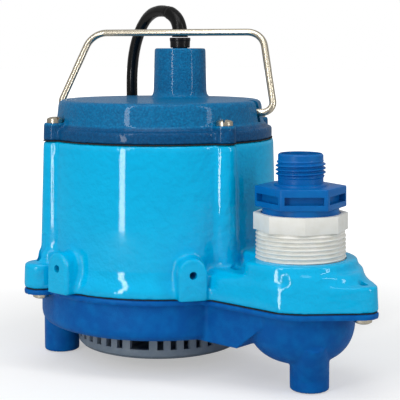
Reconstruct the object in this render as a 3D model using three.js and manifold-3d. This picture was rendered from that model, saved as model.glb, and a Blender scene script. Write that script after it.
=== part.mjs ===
// A submersible sump pump: cast motor housing with a side discharge, bolted cover with a wire bail,
// plastic volute base with feet, slotted inlet strainer, threaded discharge fittings and a power cord.
// Units are millimetres and +Z is up. The motor axis is x = y = 0 and the floor is z = 0 while the
// pieces are made; at the end everything is moved so that the pump's own box is centred on the origin.
import * as THREE from 'three';
import { mergeVertices } from 'three/addons/utils/BufferGeometryUtils.js';
import Module from 'manifold-3d';

const wasm = await Module();
wasm.setup();

const radians = (degrees) => degrees * Math.PI / 180;
const polar = (radius, degrees) => [radius * Math.cos(radians(degrees)), radius * Math.sin(radians(degrees))];

// ---- Driving dimensions ----
const GAP = 0.3;                                   // clearance between touching pieces
const SCREW_ANGLES = [-112, -14, 67, 160];         // rib and screw directions round the motor, degrees
const DISCHARGE_X = 104;                           // motor axis to discharge axis
const PARTING_LOW = 45.2;                          // joint between volute and motor housing
const PARTING_HIGH = 128;                          // joint between motor housing and cover

const HOUSING = {
  flangeR: 72.5, flangeTop: 49.7, wallFootR: 69, wallFootZ: 56, wallTopR: 67.4,
  cavityR: 61.5, floorTop: 57, ribTopR: 6.6, ribFootR: 8.5, ribCentreR: 66,
};
const EAR = { angles: [-110, 67, 160], centreR: 75, radius: 9.5, top: 59, holeR: 2.6 };
const TIP_EAR = { x: 143.7, radius: 8, top: 58 };
const BLOCK = { radius: 36.5, sideY: 35, top: 59.5, inset: 1.5 };
const DRUM = {
  x: 101, radius: 32.5, top: 68.6, shoulderX: 58, shoulderY: -12, threadR: 24.4, threadFoot: 58.2, boreR: 20.5,
};
const VENT = { angle: -14, centreR: 78, holeR: 2.6, faceR: 9, faceZ: 61 };
const PAD = {
  angles: [-33.5, -91.7], width: 15.4, rootR: 60, reach: 79, holeZ: 59.7, holeR: 2.1, holeDepth: 9, crown: 68.5,
};

const VOLUTE = {
  wallR: 69.8, footR: 66, floorZ: 22, floorThick: 3.5, lipZ: 42.4, chamberR: 63, eyeR: 19,
};
const THROAT = { halfWidth: 28.6, startX: 50, bendX: 84, endX: 101.5, lowZ: 21.6, highZ: 35.2, wall: 6 };
const BOWL = { radius: 29.2, depth: 25.8, rimZ: 38.5, wall: 5, squareness: 2.45 };
const FOOT = {
  radius: 10.4, tipRadius: 10.1, rear: [[-47.5, 35.7], [-47.5, -35.7]], front: [112, -3], frontTop: 34,
};
const STRAINER = {
  radius: 48.5, bottomR: 45, bottomZ: 6.8, topZ: 21.7, wall: 3, floor: 2.8,
  slotW: 3.5, slotZ: 12.7, slotTop: 19.6, narrowSlots: 8, firstNarrow: 14,
  wideSlots: 4, wideW: 10.8, wideAngle: -60.2,
};

const COVER = {
  flangeR: 66.5, stepZ: 134.3, ringR: 63.6, capFootR: 61.4, capR: 60, topZ: 150, edge: 3.5,
  bossR: 6.2, bossTop: 137.7, cavityR: 56, plate: 4, hubR: 15, hubZ: 132,
};
const TOWER = {
  angle: 108.8, offset: 29.16, footR: 16.3, topR: 15.8, topZ: 180.4, boreR: 10, boreTop: 171, neckR: 5,
};
const GLAND = { radius: 6.4, height: 6.6, stemR: 4.6, stemLength: 8, boreR: 2.6 };
const BOOT = { radius: 4.3, length: 24 };

const BAIL = {
  wireR: 2.1, pivotZ: 143.2, axisAngle: 22.4, shift: 1.5, endS: 51, footS: 67.5, footBend: 5.5,
  shoulderS: 58.6, shoulderH: 39, topBend: 12.5, height: 51.5, lean: 24.55,
  notchW: 5, notchFloor: 137.5, notchDepth: 55.3, holeR: 2.45, holeStart: 48.4, holeEnd: 62,
  pivotBlock: 14, blockR: 51.5,
};

const SCREW = {
  headR: 4.65, headH: 3.4, shankR: 2.2, slotW: 1.3, slotD: 1.6, coverLength: 18, baseLength: 13, coverHole: 16,
};
const BUSHING = {
  threadR: 24.1, pitch: 2.2, turns: 6, threadTop: 83.6, collarR: 25.45, topZ: 92.5,
  boreR: 21.4, neckR: 17.5, shoulderZ: 64, turn: -48.3,
};
const ADAPTER = {
  stemR: 21.05, stemFoot: 64.4, neckR: 20.8, hexFoot: 95.5, hexTop: 106.8, hexR: 24.75,
  pocketW: 21, pocketLow: 98.7, pocketHigh: 102.8, pocketDepth: 3, coreR: 12.2, crestR: 13.4,
  threadFoot: 111.3, threadTurns: 4, pitch: 2.21, topZ: 124, boreR: 11, lowBoreR: 16, turn: -18.3,
};

const SHAFT = { radius: 4, low: 27.8, top: 139.4, impellerR: 3.6, studR: 2.5 };
const BEARING = { outerR: 11, width: 7, upperZ: 132.6, lowerZ: 49.7 };
const ROTOR = { radius: 27, low: 76, high: 114, ringR: 25, ringH: 4 };
const STATOR = { outerR: 61.2, innerR: 27.6, low: 75, high: 115, slots: 24, slotDepth: 14, slotW: 4.2 };
const WINDING = { innerR: 31, outerR: 53, height: 11 };
const SEAL = { seatR: 9, seatBoreR: 5.4, seatH: 3, headR: 8, headH: 4.2 };
const IMPELLER = { radius: 42, plateLow: 35.5, plateTop: 38.5, vaneLow: 27.3, hubR: 9, vanes: 6, vaneThick: 3 };

const NUT = { radius: 5.4, height: 3.1 };
const PROTECTOR = { place: polar(42, -60), length: 18, width: 12, angle: 30, top: 134 };
const LEAD = { radius: 1.2, pitch: 4.2, endR: 35, spread: 7, bendZ: [170, 158, 144, 134, 127.6] };
const CORD_D = 7.3;
const COIL = { x: -93, y: 92.5, meanR: 41, turnsPerLayer: 2.983, layers: 3, endAngle: -48.3 };
const PLUG = {
  length: 38, radius: 14, cordEndR: 5.5, flat: 12.5, angle: 41.7,
  bladeLength: 18, bladeThick: 1.5, bladeWidth: 6.3, bladeSide: 6.35, pinR: 2.4, pinLength: 21, pinUp: 7.4,
};
const SMALL_SIDES = 10;                            // sides of screw holes
const ROUND_SIDES = 36;                            // sides of the largest turned shapes

// The cord's free route from the strain relief to the top of the coil: x, y, z from the motor axis
const CORD_ROUTE = [
  [-9.4, 27.6, 187.3], [-9.4, 27.6, 189.3], [-10.6, 28.0, 194.3], [-14.2, 29.1, 199.0],
  [-19.8, 30.1, 202.4], [-26.6, 31.1, 204.0], [-34.3, 32.1, 203.8], [-41.7, 33.5, 201.4], [-48.6, 35.0, 196.4],
  [-54.8, 36.5, 188.6], [-59.3, 37.5, 179.0], [-61.8, 38.1, 168.0], [-62.8, 38.6, 155.0],
  [-62.9, 39.3, 140.0], [-62.6, 40.2, 124.0], [-62.0, 41.6, 107.0], [-61.0, 44.0, 90.0],
  [-59.5, 47.8, 72.0], [-57.6, 53.2, 56.0], [-55.9, 60.2, 43.0], [-54.6, 69.0, 33.4],
  [-54.4, 79.0, 28.0], [-56.0, 89.5, 26.3], [-59.2, 98.8, 26.2], [-64.4, 107.0, 26.2],
];
// From the coil's outer turn along the floor to the plug
const CORD_TAIL = [
  [-58.5, 53.8, 3.8], [-51.0, 60.4, 3.8], [-43.6, 67.1, 3.8], [-36.4, 73.5, 3.8], [-27.1, 81.7, 4.4],
  [-18.2, 89.6, 8.2], [-10.7, 96.3, 12.2], [-4.8, 101.6, 12.7],
];
const HIDDEN_TAIL_POINTS = 3;                       // of these, the first run inside the coil

// ---- Finishes ----
function finish(color, roughness, metalness = 0) {
  return new THREE.MeshStandardMaterial({ color, roughness, metalness });
}

const CYAN_ENAMEL = finish(0x00acdf, 0.25);
const BLUE_ENAMEL = finish(0x0069a5, 0.4);
const BLUE_PLASTIC = finish(0x0055aa, 0.38);
const ADAPTER_PLASTIC = finish(0x0064b9, 0.35);
const GREY_PLASTIC = finish(0x5f6e7d, 0.5);
const WHITE_PVC = finish(0xebebe1, 0.45);
const BLACK_RUBBER = finish(0x111213, 0.35);
const GASKET_FIBRE = finish(0x16181a, 0.8);
const STAINLESS = finish(0xc8beaa, 0.3, 1);
const STEEL = finish(0x9a9da1, 0.35, 1);
const COPPER = finish(0xb5662c, 0.35, 1);
const BRASS = finish(0xc9a648, 0.3, 1);
const CARBON = finish(0x2b2c2e, 0.5);

// ---- Helpers ----

// A closed geometry with merged vertices, as a solid that can be joined and cut
function solid(geometry) {
  const bare = geometry.clone();
  for (const name of Object.keys(bare.attributes)) {
    if (name !== 'position') bare.deleteAttribute(name);
  }
  const merged = mergeVertices(bare, 1e-4);
  const index = merged.index.array;
  const kept = [];
  for (let i = 0; i < index.length; i += 3) {
    const [a, b, c] = [index[i], index[i + 1], index[i + 2]];
    if (a !== b && b !== c && c !== a) kept.push(a, b, c);
  }
  const vertProperties = new Float32Array(merged.attributes.position.array);
  const build = (order) => {
    return new wasm.Manifold(new wasm.Mesh({ numProp: 3, vertProperties, triVerts: new Uint32Array(order) }));
  };
  const body = build(kept);
  if (body.volume() > 0) return body;
  const flipped = [];
  for (let i = 0; i < kept.length; i += 3) flipped.push(kept[i], kept[i + 2], kept[i + 1]);
  return build(flipped);
}

// A profile of [radius, z] points turned about Z
function turned(profile, sides = ROUND_SIDES, x = 0, y = 0) {
  const closed = [...profile];
  const [first, last] = [profile[0], profile[profile.length - 1]];
  if (first[0] !== 0 || last[0] !== 0) closed.push(first);
  const points = closed.map(([radius, z]) => new THREE.Vector2(radius, z));
  const geometry = new THREE.LatheGeometry(points, sides);
  geometry.rotateX(Math.PI / 2);
  geometry.translate(x, y, 0);
  return solid(geometry);
}

const disc = (radius, low, high, sides, x = 0, y = 0, topRadius = radius) =>
  turned([[0, low], [radius, low], [topRadius, high], [0, high]], sides, x, y);

const ring = (inner, outer, low, high, sides, x = 0, y = 0) =>
  turned([[inner, low], [outer, low], [outer, high], [inner, high]], sides, x, y);

// An outline in X and Y, pulled up from one height to another
function prism(shape, low, high, curveSegments = 8) {
  const geometry = new THREE.ExtrudeGeometry(shape, { depth: high - low, bevelEnabled: false, curveSegments });
  geometry.translate(0, 0, low);
  return solid(geometry);
}

// A block between two heights, centred on (x, y) and turned about Z
function block(sizeX, sizeY, low, high, x = 0, y = 0, degrees = 0) {
  const geometry = new THREE.BoxGeometry(sizeX, sizeY, high - low);
  geometry.rotateZ(radians(degrees));
  geometry.translate(x, y, (low + high) / 2);
  return solid(geometry);
}

// A rod along a horizontal direction, from one distance to another from the motor axis
function radialRod(radius, from, to, z, degrees, sides = 20) {
  const geometry = new THREE.CylinderGeometry(radius, radius, to - from, sides);
  geometry.rotateZ(-Math.PI / 2);
  geometry.translate((from + to) / 2, 0, z);
  geometry.rotateZ(radians(degrees));
  return solid(geometry);
}

// A round section swept through points
function swept(points, radius, sides, steps) {
  const path = new THREE.CatmullRomCurve3(points.map((p) => new THREE.Vector3(...p)), false, 'centripetal');
  const section = new THREE.Shape();
  section.absarc(0, 0, radius, 0, 2 * Math.PI);
  const options = { steps, extrudePath: path, curveSegments: sides / 2, bevelEnabled: false };
  return solid(new THREE.ExtrudeGeometry(section, options));
}

const joined = (bodies) => bodies.reduce((all, body) => all.add(body));
const cut = (body, ...tools) => tools.reduce((left, tool) => left.subtract(tool), body);

const pump = new THREE.Group();
const looseCord = new THREE.Group();

function addPart(name, body, material, group = pump) {
  const mesh = body.getMesh();
  const geometry = new THREE.BufferGeometry();
  geometry.setAttribute('position', new THREE.BufferAttribute(new Float32Array(mesh.vertProperties), 3));
  geometry.setIndex(new THREE.BufferAttribute(new Uint32Array(mesh.triVerts), 1));
  geometry.computeVertexNormals();
  const part = new THREE.Mesh(geometry, material);
  part.name = name;
  group.add(part);
  return part;
}

// ---- Shared outlines ----
// The discharge side seen from above: straight flanks, a round end and a tapering screw ear
function dischargeOutline(inset = 0) {
  const big = BLOCK.radius - inset;
  const small = TIP_EAR.radius - inset;
  const lean = Math.acos((big - small) / (TIP_EAR.x - DISCHARGE_X));
  const side = BLOCK.sideY - inset;
  const start = Math.asin(side / big);
  const shape = new THREE.Shape();
  shape.moveTo(40, -side);
  shape.lineTo(DISCHARGE_X, -side);
  shape.absarc(DISCHARGE_X, 0, big, -start, -lean, false);
  shape.absarc(TIP_EAR.x, 0, small, -lean, lean, false);
  shape.absarc(DISCHARGE_X, 0, big, lean, start, false);
  shape.lineTo(40, side);
  shape.closePath();
  return shape;
}

// The base is screwed on under three ears of the motor side and under the tapering ear. The fourth rib
// comes down over the water passage, where a vent hole lets trapped air out.
const RIB_PLACES = SCREW_ANGLES.map((angle) => polar(HOUSING.ribCentreR, angle));
const EAR_PLACES = EAR.angles.map((angle) => polar(EAR.centreR, angle));
const BASE_SCREWS = [...EAR_PLACES, [TIP_EAR.x, 0]];

// The round base flange with its screw ears and the discharge side
function baseFlange(low, high, radius = HOUSING.flangeR, inset = 0) {
  const ears = EAR_PLACES.map((place) => disc(EAR.radius - inset, low, high, 14, ...place));
  return joined([disc(radius - inset, low, high), prism(dischargeOutline(inset), low, high), ...ears]);
}

// The water passage where volute and housing meet
function passage(low, high) {
  const width = 2 * (THROAT.halfWidth - THROAT.wall);
  return block(DISCHARGE_X - THROAT.startX, width, low, high, (DISCHARGE_X + THROAT.startX) / 2, 0);
}

// ---- Volute base ----
function throatSolid(inset) {
  const shape = new THREE.Shape();
  const top = PARTING_LOW - GAP;
  shape.moveTo(THROAT.startX, top + inset);
  shape.lineTo(THROAT.startX, THROAT.lowZ + inset);
  shape.lineTo(THROAT.bendX, THROAT.lowZ + inset);
  shape.lineTo(THROAT.endX, THROAT.highZ + inset);
  shape.lineTo(THROAT.endX, top + inset);
  shape.closePath();
  const width = 2 * (THROAT.halfWidth - inset);
  const geometry = new THREE.ExtrudeGeometry(shape, { depth: width, bevelEnabled: false });
  geometry.rotateX(Math.PI / 2);
  geometry.translate(0, width / 2, 0);
  return solid(geometry);
}

// The discharge bowl is a little squarer than a ball
function bowlSolid(inset, high) {
  const radius = BOWL.radius - inset;
  const depth = BOWL.depth - inset;
  const power = 2 / BOWL.squareness;
  const profile = [[0, BOWL.rimZ - depth]];
  const bands = 6;
  for (let band = 1; band < bands; band++) {
    const angle = (band / bands) * Math.PI / 2;
    profile.push([radius * Math.sin(angle) ** power, BOWL.rimZ - depth * Math.cos(angle) ** power]);
  }
  profile.push([radius, BOWL.rimZ], [radius, high], [0, high]);
  return turned(profile, 28, DISCHARGE_X, 0);
}

function makeVolute() {
  const top = PARTING_LOW - GAP;
  const wall = turned([
    [0, VOLUTE.floorZ], [VOLUTE.footR, VOLUTE.floorZ], [VOLUTE.wallR, VOLUTE.floorZ + 4],
    [VOLUTE.wallR, top], [0, top],
  ]);
  const feet = FOOT.rear.map(([x, y]) => disc(FOOT.tipRadius, 0, VOLUTE.floorZ + 1, 24, x, y, FOOT.radius));
  const frontFoot = disc(FOOT.radius, 0, FOOT.frontTop, 24, ...FOOT.front);
  const body = joined([
    wall, throatSolid(0), bowlSolid(0, top), baseFlange(VOLUTE.lipZ, top), ...feet, frontFoot,
  ]);
  const innerTop = top + 1;
  const chamber = disc(VOLUTE.chamberR, VOLUTE.floorZ + VOLUTE.floorThick, innerTop);
  const eye = disc(VOLUTE.eyeR, VOLUTE.floorZ - 1, VOLUTE.floorZ + VOLUTE.floorThick + 1, 32);
  const holes = BASE_SCREWS.map(([x, y]) => disc(EAR.holeR, VOLUTE.lipZ - 1, innerTop, SMALL_SIDES, x, y));
  return cut(body, chamber, eye, throatSolid(THROAT.wall), bowlSolid(BOWL.wall, innerTop), ...holes);
}

// A thin fibre sheet between volute and housing, open over the chamber and the passage
function makeVoluteGasket() {
  const [low, high] = [PARTING_LOW, PARTING_LOW + 0.5];
  const holes = BASE_SCREWS.map(([x, y]) => disc(EAR.holeR, low - 1, high + 1, SMALL_SIDES, x, y));
  const bowl = disc(BOWL.radius - BOWL.wall, low - 1, high + 1, 40, DISCHARGE_X, 0);
  const chamber = disc(VOLUTE.chamberR, low - 1, high + 1);
  return cut(baseFlange(low, high, HOUSING.flangeR, 1), chamber, passage(low - 1, high + 1), bowl, ...holes);
}

// ---- Motor housing ----
const HOUSING_FOOT = PARTING_LOW + 0.5 + GAP;
const HOUSING_TOP = PARTING_HIGH - 0.8;
const PASSAGE_HEIGHT = 6;                          // of the water passage inside the housing

// An arch-topped pad standing out of the wall
function archPad(degrees) {
  const half = PAD.width / 2;
  const shape = new THREE.Shape();
  shape.moveTo(-half, HOUSING_FOOT);
  shape.lineTo(half, HOUSING_FOOT);
  shape.absarc(0, PAD.crown - half, half, 0, Math.PI, false);
  shape.closePath();
  const depth = PAD.reach - PAD.rootR;
  const geometry = new THREE.ExtrudeGeometry(shape, { depth, bevelEnabled: false, curveSegments: 8 });
  geometry.rotateX(Math.PI / 2);
  geometry.rotateZ(Math.PI / 2);
  geometry.translate(PAD.rootR, 0, 0);
  geometry.rotateZ(radians(degrees));
  return solid(geometry);
}

// The round discharge drum runs back to the wall and steps down to a flat face at the vent hole
function drumSolid() {
  const { x, radius, top, shoulderX, shoulderY } = DRUM;
  const low = BLOCK.top - 1;
  const middleX = (x + shoulderX) / 2;
  const shoulder = block(x - shoulderX, radius - shoulderY, low, top, middleX, (radius + shoulderY) / 2);
  const face = disc(VENT.faceR, VENT.faceZ, top + 1, 20, ...polar(VENT.centreR, VENT.angle));
  const drum = disc(radius, low, top - 1.2, ROUND_SIDES, x, 0);
  const rim = disc(radius, top - 1.2, top, ROUND_SIDES, x, 0, radius - 1.2);
  return cut(joined([drum, rim, shoulder]), face);
}

function makeHousing() {
  const wall = turned([
    [0, HOUSING_FOOT], [HOUSING.flangeR, HOUSING_FOOT], [HOUSING.flangeR, HOUSING.flangeTop],
    [HOUSING.wallFootR + 1.2, HOUSING.flangeTop + 2.6], [HOUSING.wallFootR, HOUSING.wallFootZ],
    [HOUSING.wallTopR, HOUSING_TOP], [0, HOUSING_TOP],
  ]);
  const ribs = RIB_PLACES.map((place) =>
    disc(HOUSING.ribFootR, HOUSING_FOOT, HOUSING_TOP, 16, ...place, HOUSING.ribTopR));
  const ears = EAR_PLACES.map((place) =>
    disc(EAR.radius, HOUSING_FOOT, EAR.top, 16, ...place, EAR.radius - 1));
  const body = joined([
    wall, ...ribs, ...ears, baseFlange(HOUSING_FOOT, HOUSING.flangeTop),
    prism(dischargeOutline(BLOCK.inset), HOUSING.flangeTop - 1, BLOCK.top),
    drumSolid(),
    ...PAD.angles.map(archPad),
  ]);
  const shaftHole = disc(SHAFT.radius + 1.2, HOUSING_FOOT - 1, HOUSING.floorTop + 1, 24);
  const bearingPocket = disc(BEARING.outerR + GAP, BEARING.lowerZ - GAP, HOUSING.floorTop + 1, 32);
  const sealPocket = disc(SEAL.seatR + GAP, HOUSING_FOOT - 1, HOUSING_FOOT + SEAL.seatH, 32);
  const screwHoles = RIB_PLACES.map((place) =>
    disc(SCREW.shankR + GAP, HOUSING_TOP - SCREW.coverHole, HOUSING_TOP + 1, SMALL_SIDES, ...place));
  const ventPlace = polar(VENT.centreR, VENT.angle);
  const ventHole = disc(VENT.holeR, HOUSING_FOOT - 1, DRUM.top, SMALL_SIDES, ...ventPlace);
  const baseHoles = BASE_SCREWS.map((place) =>
    disc(EAR.holeR, HOUSING_FOOT - 1, DRUM.top, SMALL_SIDES, ...place));
  const padHoles = PAD.angles.map((angle) =>
    radialRod(PAD.holeR, PAD.reach - PAD.holeDepth, PAD.reach + 1, PAD.holeZ, angle, SMALL_SIDES));
  const roof = passage(HOUSING_FOOT - 1, HOUSING_FOOT + PASSAGE_HEIGHT);
  return cut(
    body, disc(HOUSING.cavityR, HOUSING.floorTop, HOUSING_TOP + 1), shaftHole, bearingPocket, sealPocket,
    roof.subtract(disc(VOLUTE.chamberR, HOUSING_FOOT - 1, HOUSING_FOOT + PASSAGE_HEIGHT + 1)),
    disc(DRUM.boreR, HOUSING_FOOT - 1, DRUM.top + 1, 32, DISCHARGE_X, 0),
    disc(DRUM.threadR, DRUM.threadFoot, DRUM.top + 1, 32, DISCHARGE_X, 0),
    ...screwHoles, ...baseHoles, ...padHoles, ventHole,
  );
}

// ---- Cover ----
const COVER_FOOT = PARTING_HIGH + 0.3;

function makeCoverGasket() {
  const [low, high] = [HOUSING_TOP + GAP, COVER_FOOT - GAP];
  const ears = RIB_PLACES.map((place) => disc(COVER.bossR, low, high, 14, ...place));
  const holes = RIB_PLACES.map((place) => disc(SCREW.shankR + GAP, low - 1, high + 1, SMALL_SIDES, ...place));
  return cut(joined([ring(COVER.cavityR + 2, COVER.flangeR + 0.3, low, high), ...ears]), ...holes);
}

function makeCover() {
  const tower = polar(TOWER.offset, TOWER.angle);
  const cap = turned([
    [0, COVER_FOOT], [COVER.flangeR, COVER_FOOT], [COVER.flangeR, COVER.stepZ], [COVER.ringR, COVER.stepZ],
    [COVER.ringR - 0.6, COVER.stepZ + 1.4], [COVER.capFootR, COVER.stepZ + 2.4],
    [COVER.capR, COVER.topZ - COVER.edge], [COVER.capR - COVER.edge * 0.3, COVER.topZ - COVER.edge * 0.3],
    [COVER.capR - COVER.edge, COVER.topZ], [0, COVER.topZ],
  ]);
  const bosses = RIB_PLACES.map((place) => disc(COVER.bossR, COVER_FOOT, COVER.bossTop, 18, ...place));
  const stack = turned([
    [0, COVER_FOOT + 6], [TOWER.footR + 3, COVER_FOOT + 6], [TOWER.footR + 3, COVER.topZ],
    [TOWER.footR + 1, COVER.topZ + 0.8], [TOWER.footR, COVER.topZ + 3], [TOWER.topR, TOWER.topZ - 0.8],
    [TOWER.topR - 0.8, TOWER.topZ], [0, TOWER.topZ],
  ], 24, ...tower);
  const hollow = disc(COVER.cavityR, COVER_FOOT - 1, COVER.topZ - COVER.plate);
  const shell = cut(joined([cap, ...bosses]), hollow);
  const hub = disc(COVER.hubR, COVER.hubZ, COVER.topZ - 1, 32);
  const sides = [BAIL.axisAngle, BAIL.axisAngle + 180];
  const pivotSize = BAIL.pivotBlock;
  const blockFoot = BAIL.pivotZ - pivotSize / 2;
  const pivotBlocks = sides.map((angle) =>
    block(pivotSize, pivotSize, blockFoot, COVER.topZ - 1, ...polar(BAIL.blockR, angle), angle));
  const notches = sides.map((angle) =>
    block(12, BAIL.notchW, BAIL.notchFloor, COVER.topZ + 1, ...polar(BAIL.notchDepth + 6, angle), angle));
  const pivotHoles = sides.map((angle) =>
    radialRod(BAIL.holeR, BAIL.holeStart, BAIL.holeEnd, BAIL.pivotZ, angle));
  const screwHoles = RIB_PLACES.map((place) =>
    disc(SCREW.shankR + GAP, COVER_FOOT - 1, COVER.bossTop + 1, SMALL_SIDES, ...place));
  const headSeats = RIB_PLACES.map((place) =>
    disc(SCREW.headR + 2 * GAP, COVER.bossTop, COVER.topZ, 12, ...place));
  return cut(
    joined([shell, hub, stack, ...pivotBlocks]),
    disc(TOWER.boreR, COVER_FOOT, TOWER.boreTop, 32, ...tower),
    disc(TOWER.neckR, TOWER.boreTop - 1, TOWER.topZ + 1, 24, ...tower),
    disc(BEARING.outerR + GAP, COVER.hubZ - 1, BEARING.upperZ + BEARING.width + GAP, 32),
    ...notches, ...pivotHoles, ...screwHoles, ...headSeats,
  );
}

// ---- Fasteners ----
// A slotted pan-head screw with its head's seat at z = 0, pointing down
function slottedScrew(length) {
  const { headR, headH, shankR, slotW, slotD } = SCREW;
  const body = turned([
    [0, -length], [shankR, -length], [shankR, 0], [headR, 0], [headR, headH * 0.5],
    [headR * 0.65, headH], [0, headH],
  ], 12);
  return body.subtract(block(2 * headR + 2, slotW, headH - slotD, headH + 1));
}

function placeScrew(name, length, x, y, z, slotAngle, headDown = false) {
  const screw = addPart(name, slottedScrew(length), STAINLESS);
  screw.position.set(x, y, z);
  screw.rotation.set(headDown ? Math.PI : 0, 0, radians(slotAngle));
}

// ---- Bail handle ----
// Half the wire's centre line in the bail's own plane: s along the pivot axis, h above it
function bailHalf() {
  const { endS, footS, footBend, shoulderS, shoulderH, topBend, height } = BAIL;
  const points = [[endS, 0], [footS - footBend - 3, 0], [footS - footBend, 0]];
  for (const angle of [-60, -30, 0]) {
    const [s, h] = polar(footBend, angle);
    points.push([footS - footBend + s, footBend + h]);
  }
  points.push([(footS + shoulderS) / 2, (footBend + shoulderH) / 2], [shoulderS, shoulderH]);
  for (const angle of [30, 60, 90]) {
    const [s, h] = polar(topBend, angle);
    points.push([shoulderS - topBend + s, height - topBend + h]);
  }
  points.push([shoulderS - topBend - 8, height]);
  return points;
}

function makeBail() {
  const half = bailHalf();
  const other = half.map(([s, h]) => [-s, h]).reverse();
  const across = polar(1, BAIL.axisAngle);
  const back = polar(Math.sin(radians(BAIL.lean)), BAIL.axisAngle + 90);
  const up = Math.cos(radians(BAIL.lean));
  const points = [...half, [0, BAIL.height], ...other].map(([s, h]) => {
    const along = s + BAIL.shift;
    return [across[0] * along + back[0] * h, across[1] * along + back[1] * h, BAIL.pivotZ + up * h];
  });
  return swept(points, BAIL.wireR, 8, 64);
}

// ---- Discharge fittings ----
// Ridges of a thread's side view, from low to high
function threadRidges(crest, root, pitch, low, turns) {
  const profile = [];
  for (let turn = 0; turn < turns; turn++) {
    const z = low + turn * pitch;
    profile.push([root, z], [crest, z + pitch * 0.4], [crest, z + pitch * 0.65]);
  }
  return profile;
}

function makeBushing() {
  const { threadR, pitch, turns, threadTop, collarR, topZ, boreR, neckR, shoulderZ } = BUSHING;
  const foot = DRUM.threadFoot + GAP;
  const ridgeFoot = threadTop - turns * pitch;
  const body = turned([
    [0, foot], [threadR - 1.2, foot], [threadR - 0.2, foot + 2], [threadR - 0.2, ridgeFoot - 0.2],
    ...threadRidges(threadR, threadR - 1.3, pitch, ridgeFoot, turns),
    [threadR - 1.3, threadTop + 1], [0, threadTop + 1],
  ], 28);
  const collar = disc(collarR, threadTop, topZ, 8);
  const bore = disc(boreR, shoulderZ, topZ + 1, 32);
  return cut(body.add(collar), bore, disc(neckR, foot - 1, shoulderZ + 1, 32));
}

function makeAdapter() {
  const a = ADAPTER;
  const body = turned([
    [0, a.stemFoot], [a.stemR, a.stemFoot], [a.stemR, BUSHING.topZ], [a.neckR, BUSHING.topZ + 0.4],
    [a.neckR, a.hexFoot + 1], [0, a.hexFoot + 1],
  ], 24);
  const hex = disc(a.hexR, a.hexFoot, a.hexTop, 6);
  const hose = turned([
    [0, a.hexTop - 1], [a.coreR, a.hexTop - 1], [a.coreR, a.threadFoot - 0.4],
    ...threadRidges(a.crestR, a.coreR, a.pitch, a.threadFoot, a.threadTurns),
    [a.coreR, a.topZ - 1], [a.coreR - 0.6, a.topZ], [0, a.topZ],
  ], 24);
  const flatR = a.hexR * Math.cos(Math.PI / 6);
  const pockets = [];
  for (let face = 0; face < 6; face++) {
    const angle = 30 + face * 60;
    const place = polar(flatR, angle);
    pockets.push(block(2 * a.pocketDepth, a.pocketW, a.pocketLow, a.pocketHigh, ...place, angle));
  }
  const bore = disc(a.boreR, a.stemFoot - 1, a.topZ + 1, 24);
  const lowBore = disc(a.lowBoreR, a.stemFoot - 1, a.hexFoot, 24);
  return cut(joined([body, hex, hose]), bore, lowBore, ...pockets);
}

function makeStrainer() {
  const s = STRAINER;
  const cup = turned([
    [0, s.bottomZ], [s.bottomR, s.bottomZ], [s.radius - 0.8, s.bottomZ + 1.4], [s.radius, s.bottomZ + 3.4],
    [s.radius, s.topZ], [s.radius - s.wall, s.topZ], [s.radius - s.wall, s.bottomZ + s.floor],
    [0, s.bottomZ + s.floor],
  ], 48);
  const slots = [];
  const wideStep = 360 / s.wideSlots;
  const step = (wideStep - 2 * s.firstNarrow) / (s.narrowSlots - 1);
  for (let i = 0; i < s.wideSlots; i++) {
    const angle = s.wideAngle + i * wideStep;
    slots.push(block(4 * s.wall, s.wideW, s.slotZ, s.slotTop, ...polar(s.radius, angle), angle));
    for (let j = 0; j < s.narrowSlots; j++) {
      const narrow = angle + s.firstNarrow + j * step;
      slots.push(block(4 * s.wall, s.slotW, s.slotZ, s.slotTop, ...polar(s.radius, narrow), narrow));
    }
  }
  return cut(cup, ...slots);
}

// ---- Motor, bearings, seal and impeller ----
function makeStator() {
  const slots = [];
  for (let i = 0; i < STATOR.slots; i++) {
    const angle = i * 360 / STATOR.slots;
    const middle = polar(STATOR.innerR + STATOR.slotDepth / 2, angle);
    slots.push(block(STATOR.slotDepth + 2, STATOR.slotW, STATOR.low - 1, STATOR.high + 1, ...middle, angle));
  }
  return cut(ring(STATOR.innerR, STATOR.outerR, STATOR.low, STATOR.high, 36), ...slots);
}

const winding = (low) => turned([
  [WINDING.innerR, low], [WINDING.outerR, low], [WINDING.outerR + 1, low + WINDING.height / 2],
  [WINDING.outerR - 2, low + WINDING.height], [WINDING.innerR + 2, low + WINDING.height],
  [WINDING.innerR - 1, low + WINDING.height / 2],
], 32);

function makeRotorCore() {
  const { radius, low, high, ringR, ringH } = ROTOR;
  const bore = SHAFT.radius + GAP;
  return turned([
    [bore, low - ringH], [ringR, low - ringH], [ringR, low], [radius, low], [radius, high], [ringR, high],
    [ringR, high + ringH], [bore, high + ringH],
  ], 32);
}

function makeImpeller() {
  const i = IMPELLER;
  const plate = disc(i.radius, i.plateLow, i.plateTop, 36);
  const hub = disc(i.hubR, i.vaneLow + 1.7, i.plateTop + 1.2, 32);
  const vanes = [];
  for (let n = 0; n < i.vanes; n++) {
    const vane = new THREE.Shape();
    const outer = i.radius - 0.6;
    vane.moveTo(6, -i.vaneThick / 2);
    vane.quadraticCurveTo(outer * 0.6, -i.vaneThick / 2, outer * 0.9, outer * 0.34);
    vane.lineTo(outer * 0.84, outer * 0.4);
    vane.quadraticCurveTo(outer * 0.55, i.vaneThick / 2 + 1, 6, i.vaneThick / 2);
    vane.closePath();
    const geometry = new THREE.ExtrudeGeometry(vane, {
      depth: i.plateLow - i.vaneLow + 1, bevelEnabled: false, curveSegments: 6,
    });
    geometry.translate(0, 0, i.vaneLow);
    geometry.rotateZ(n * 2 * Math.PI / i.vanes);
    vanes.push(solid(geometry));
  }
  return cut(joined([plate, hub, ...vanes]), disc(SHAFT.impellerR + GAP, i.vaneLow - 1, i.plateTop + 2, 24));
}

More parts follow.
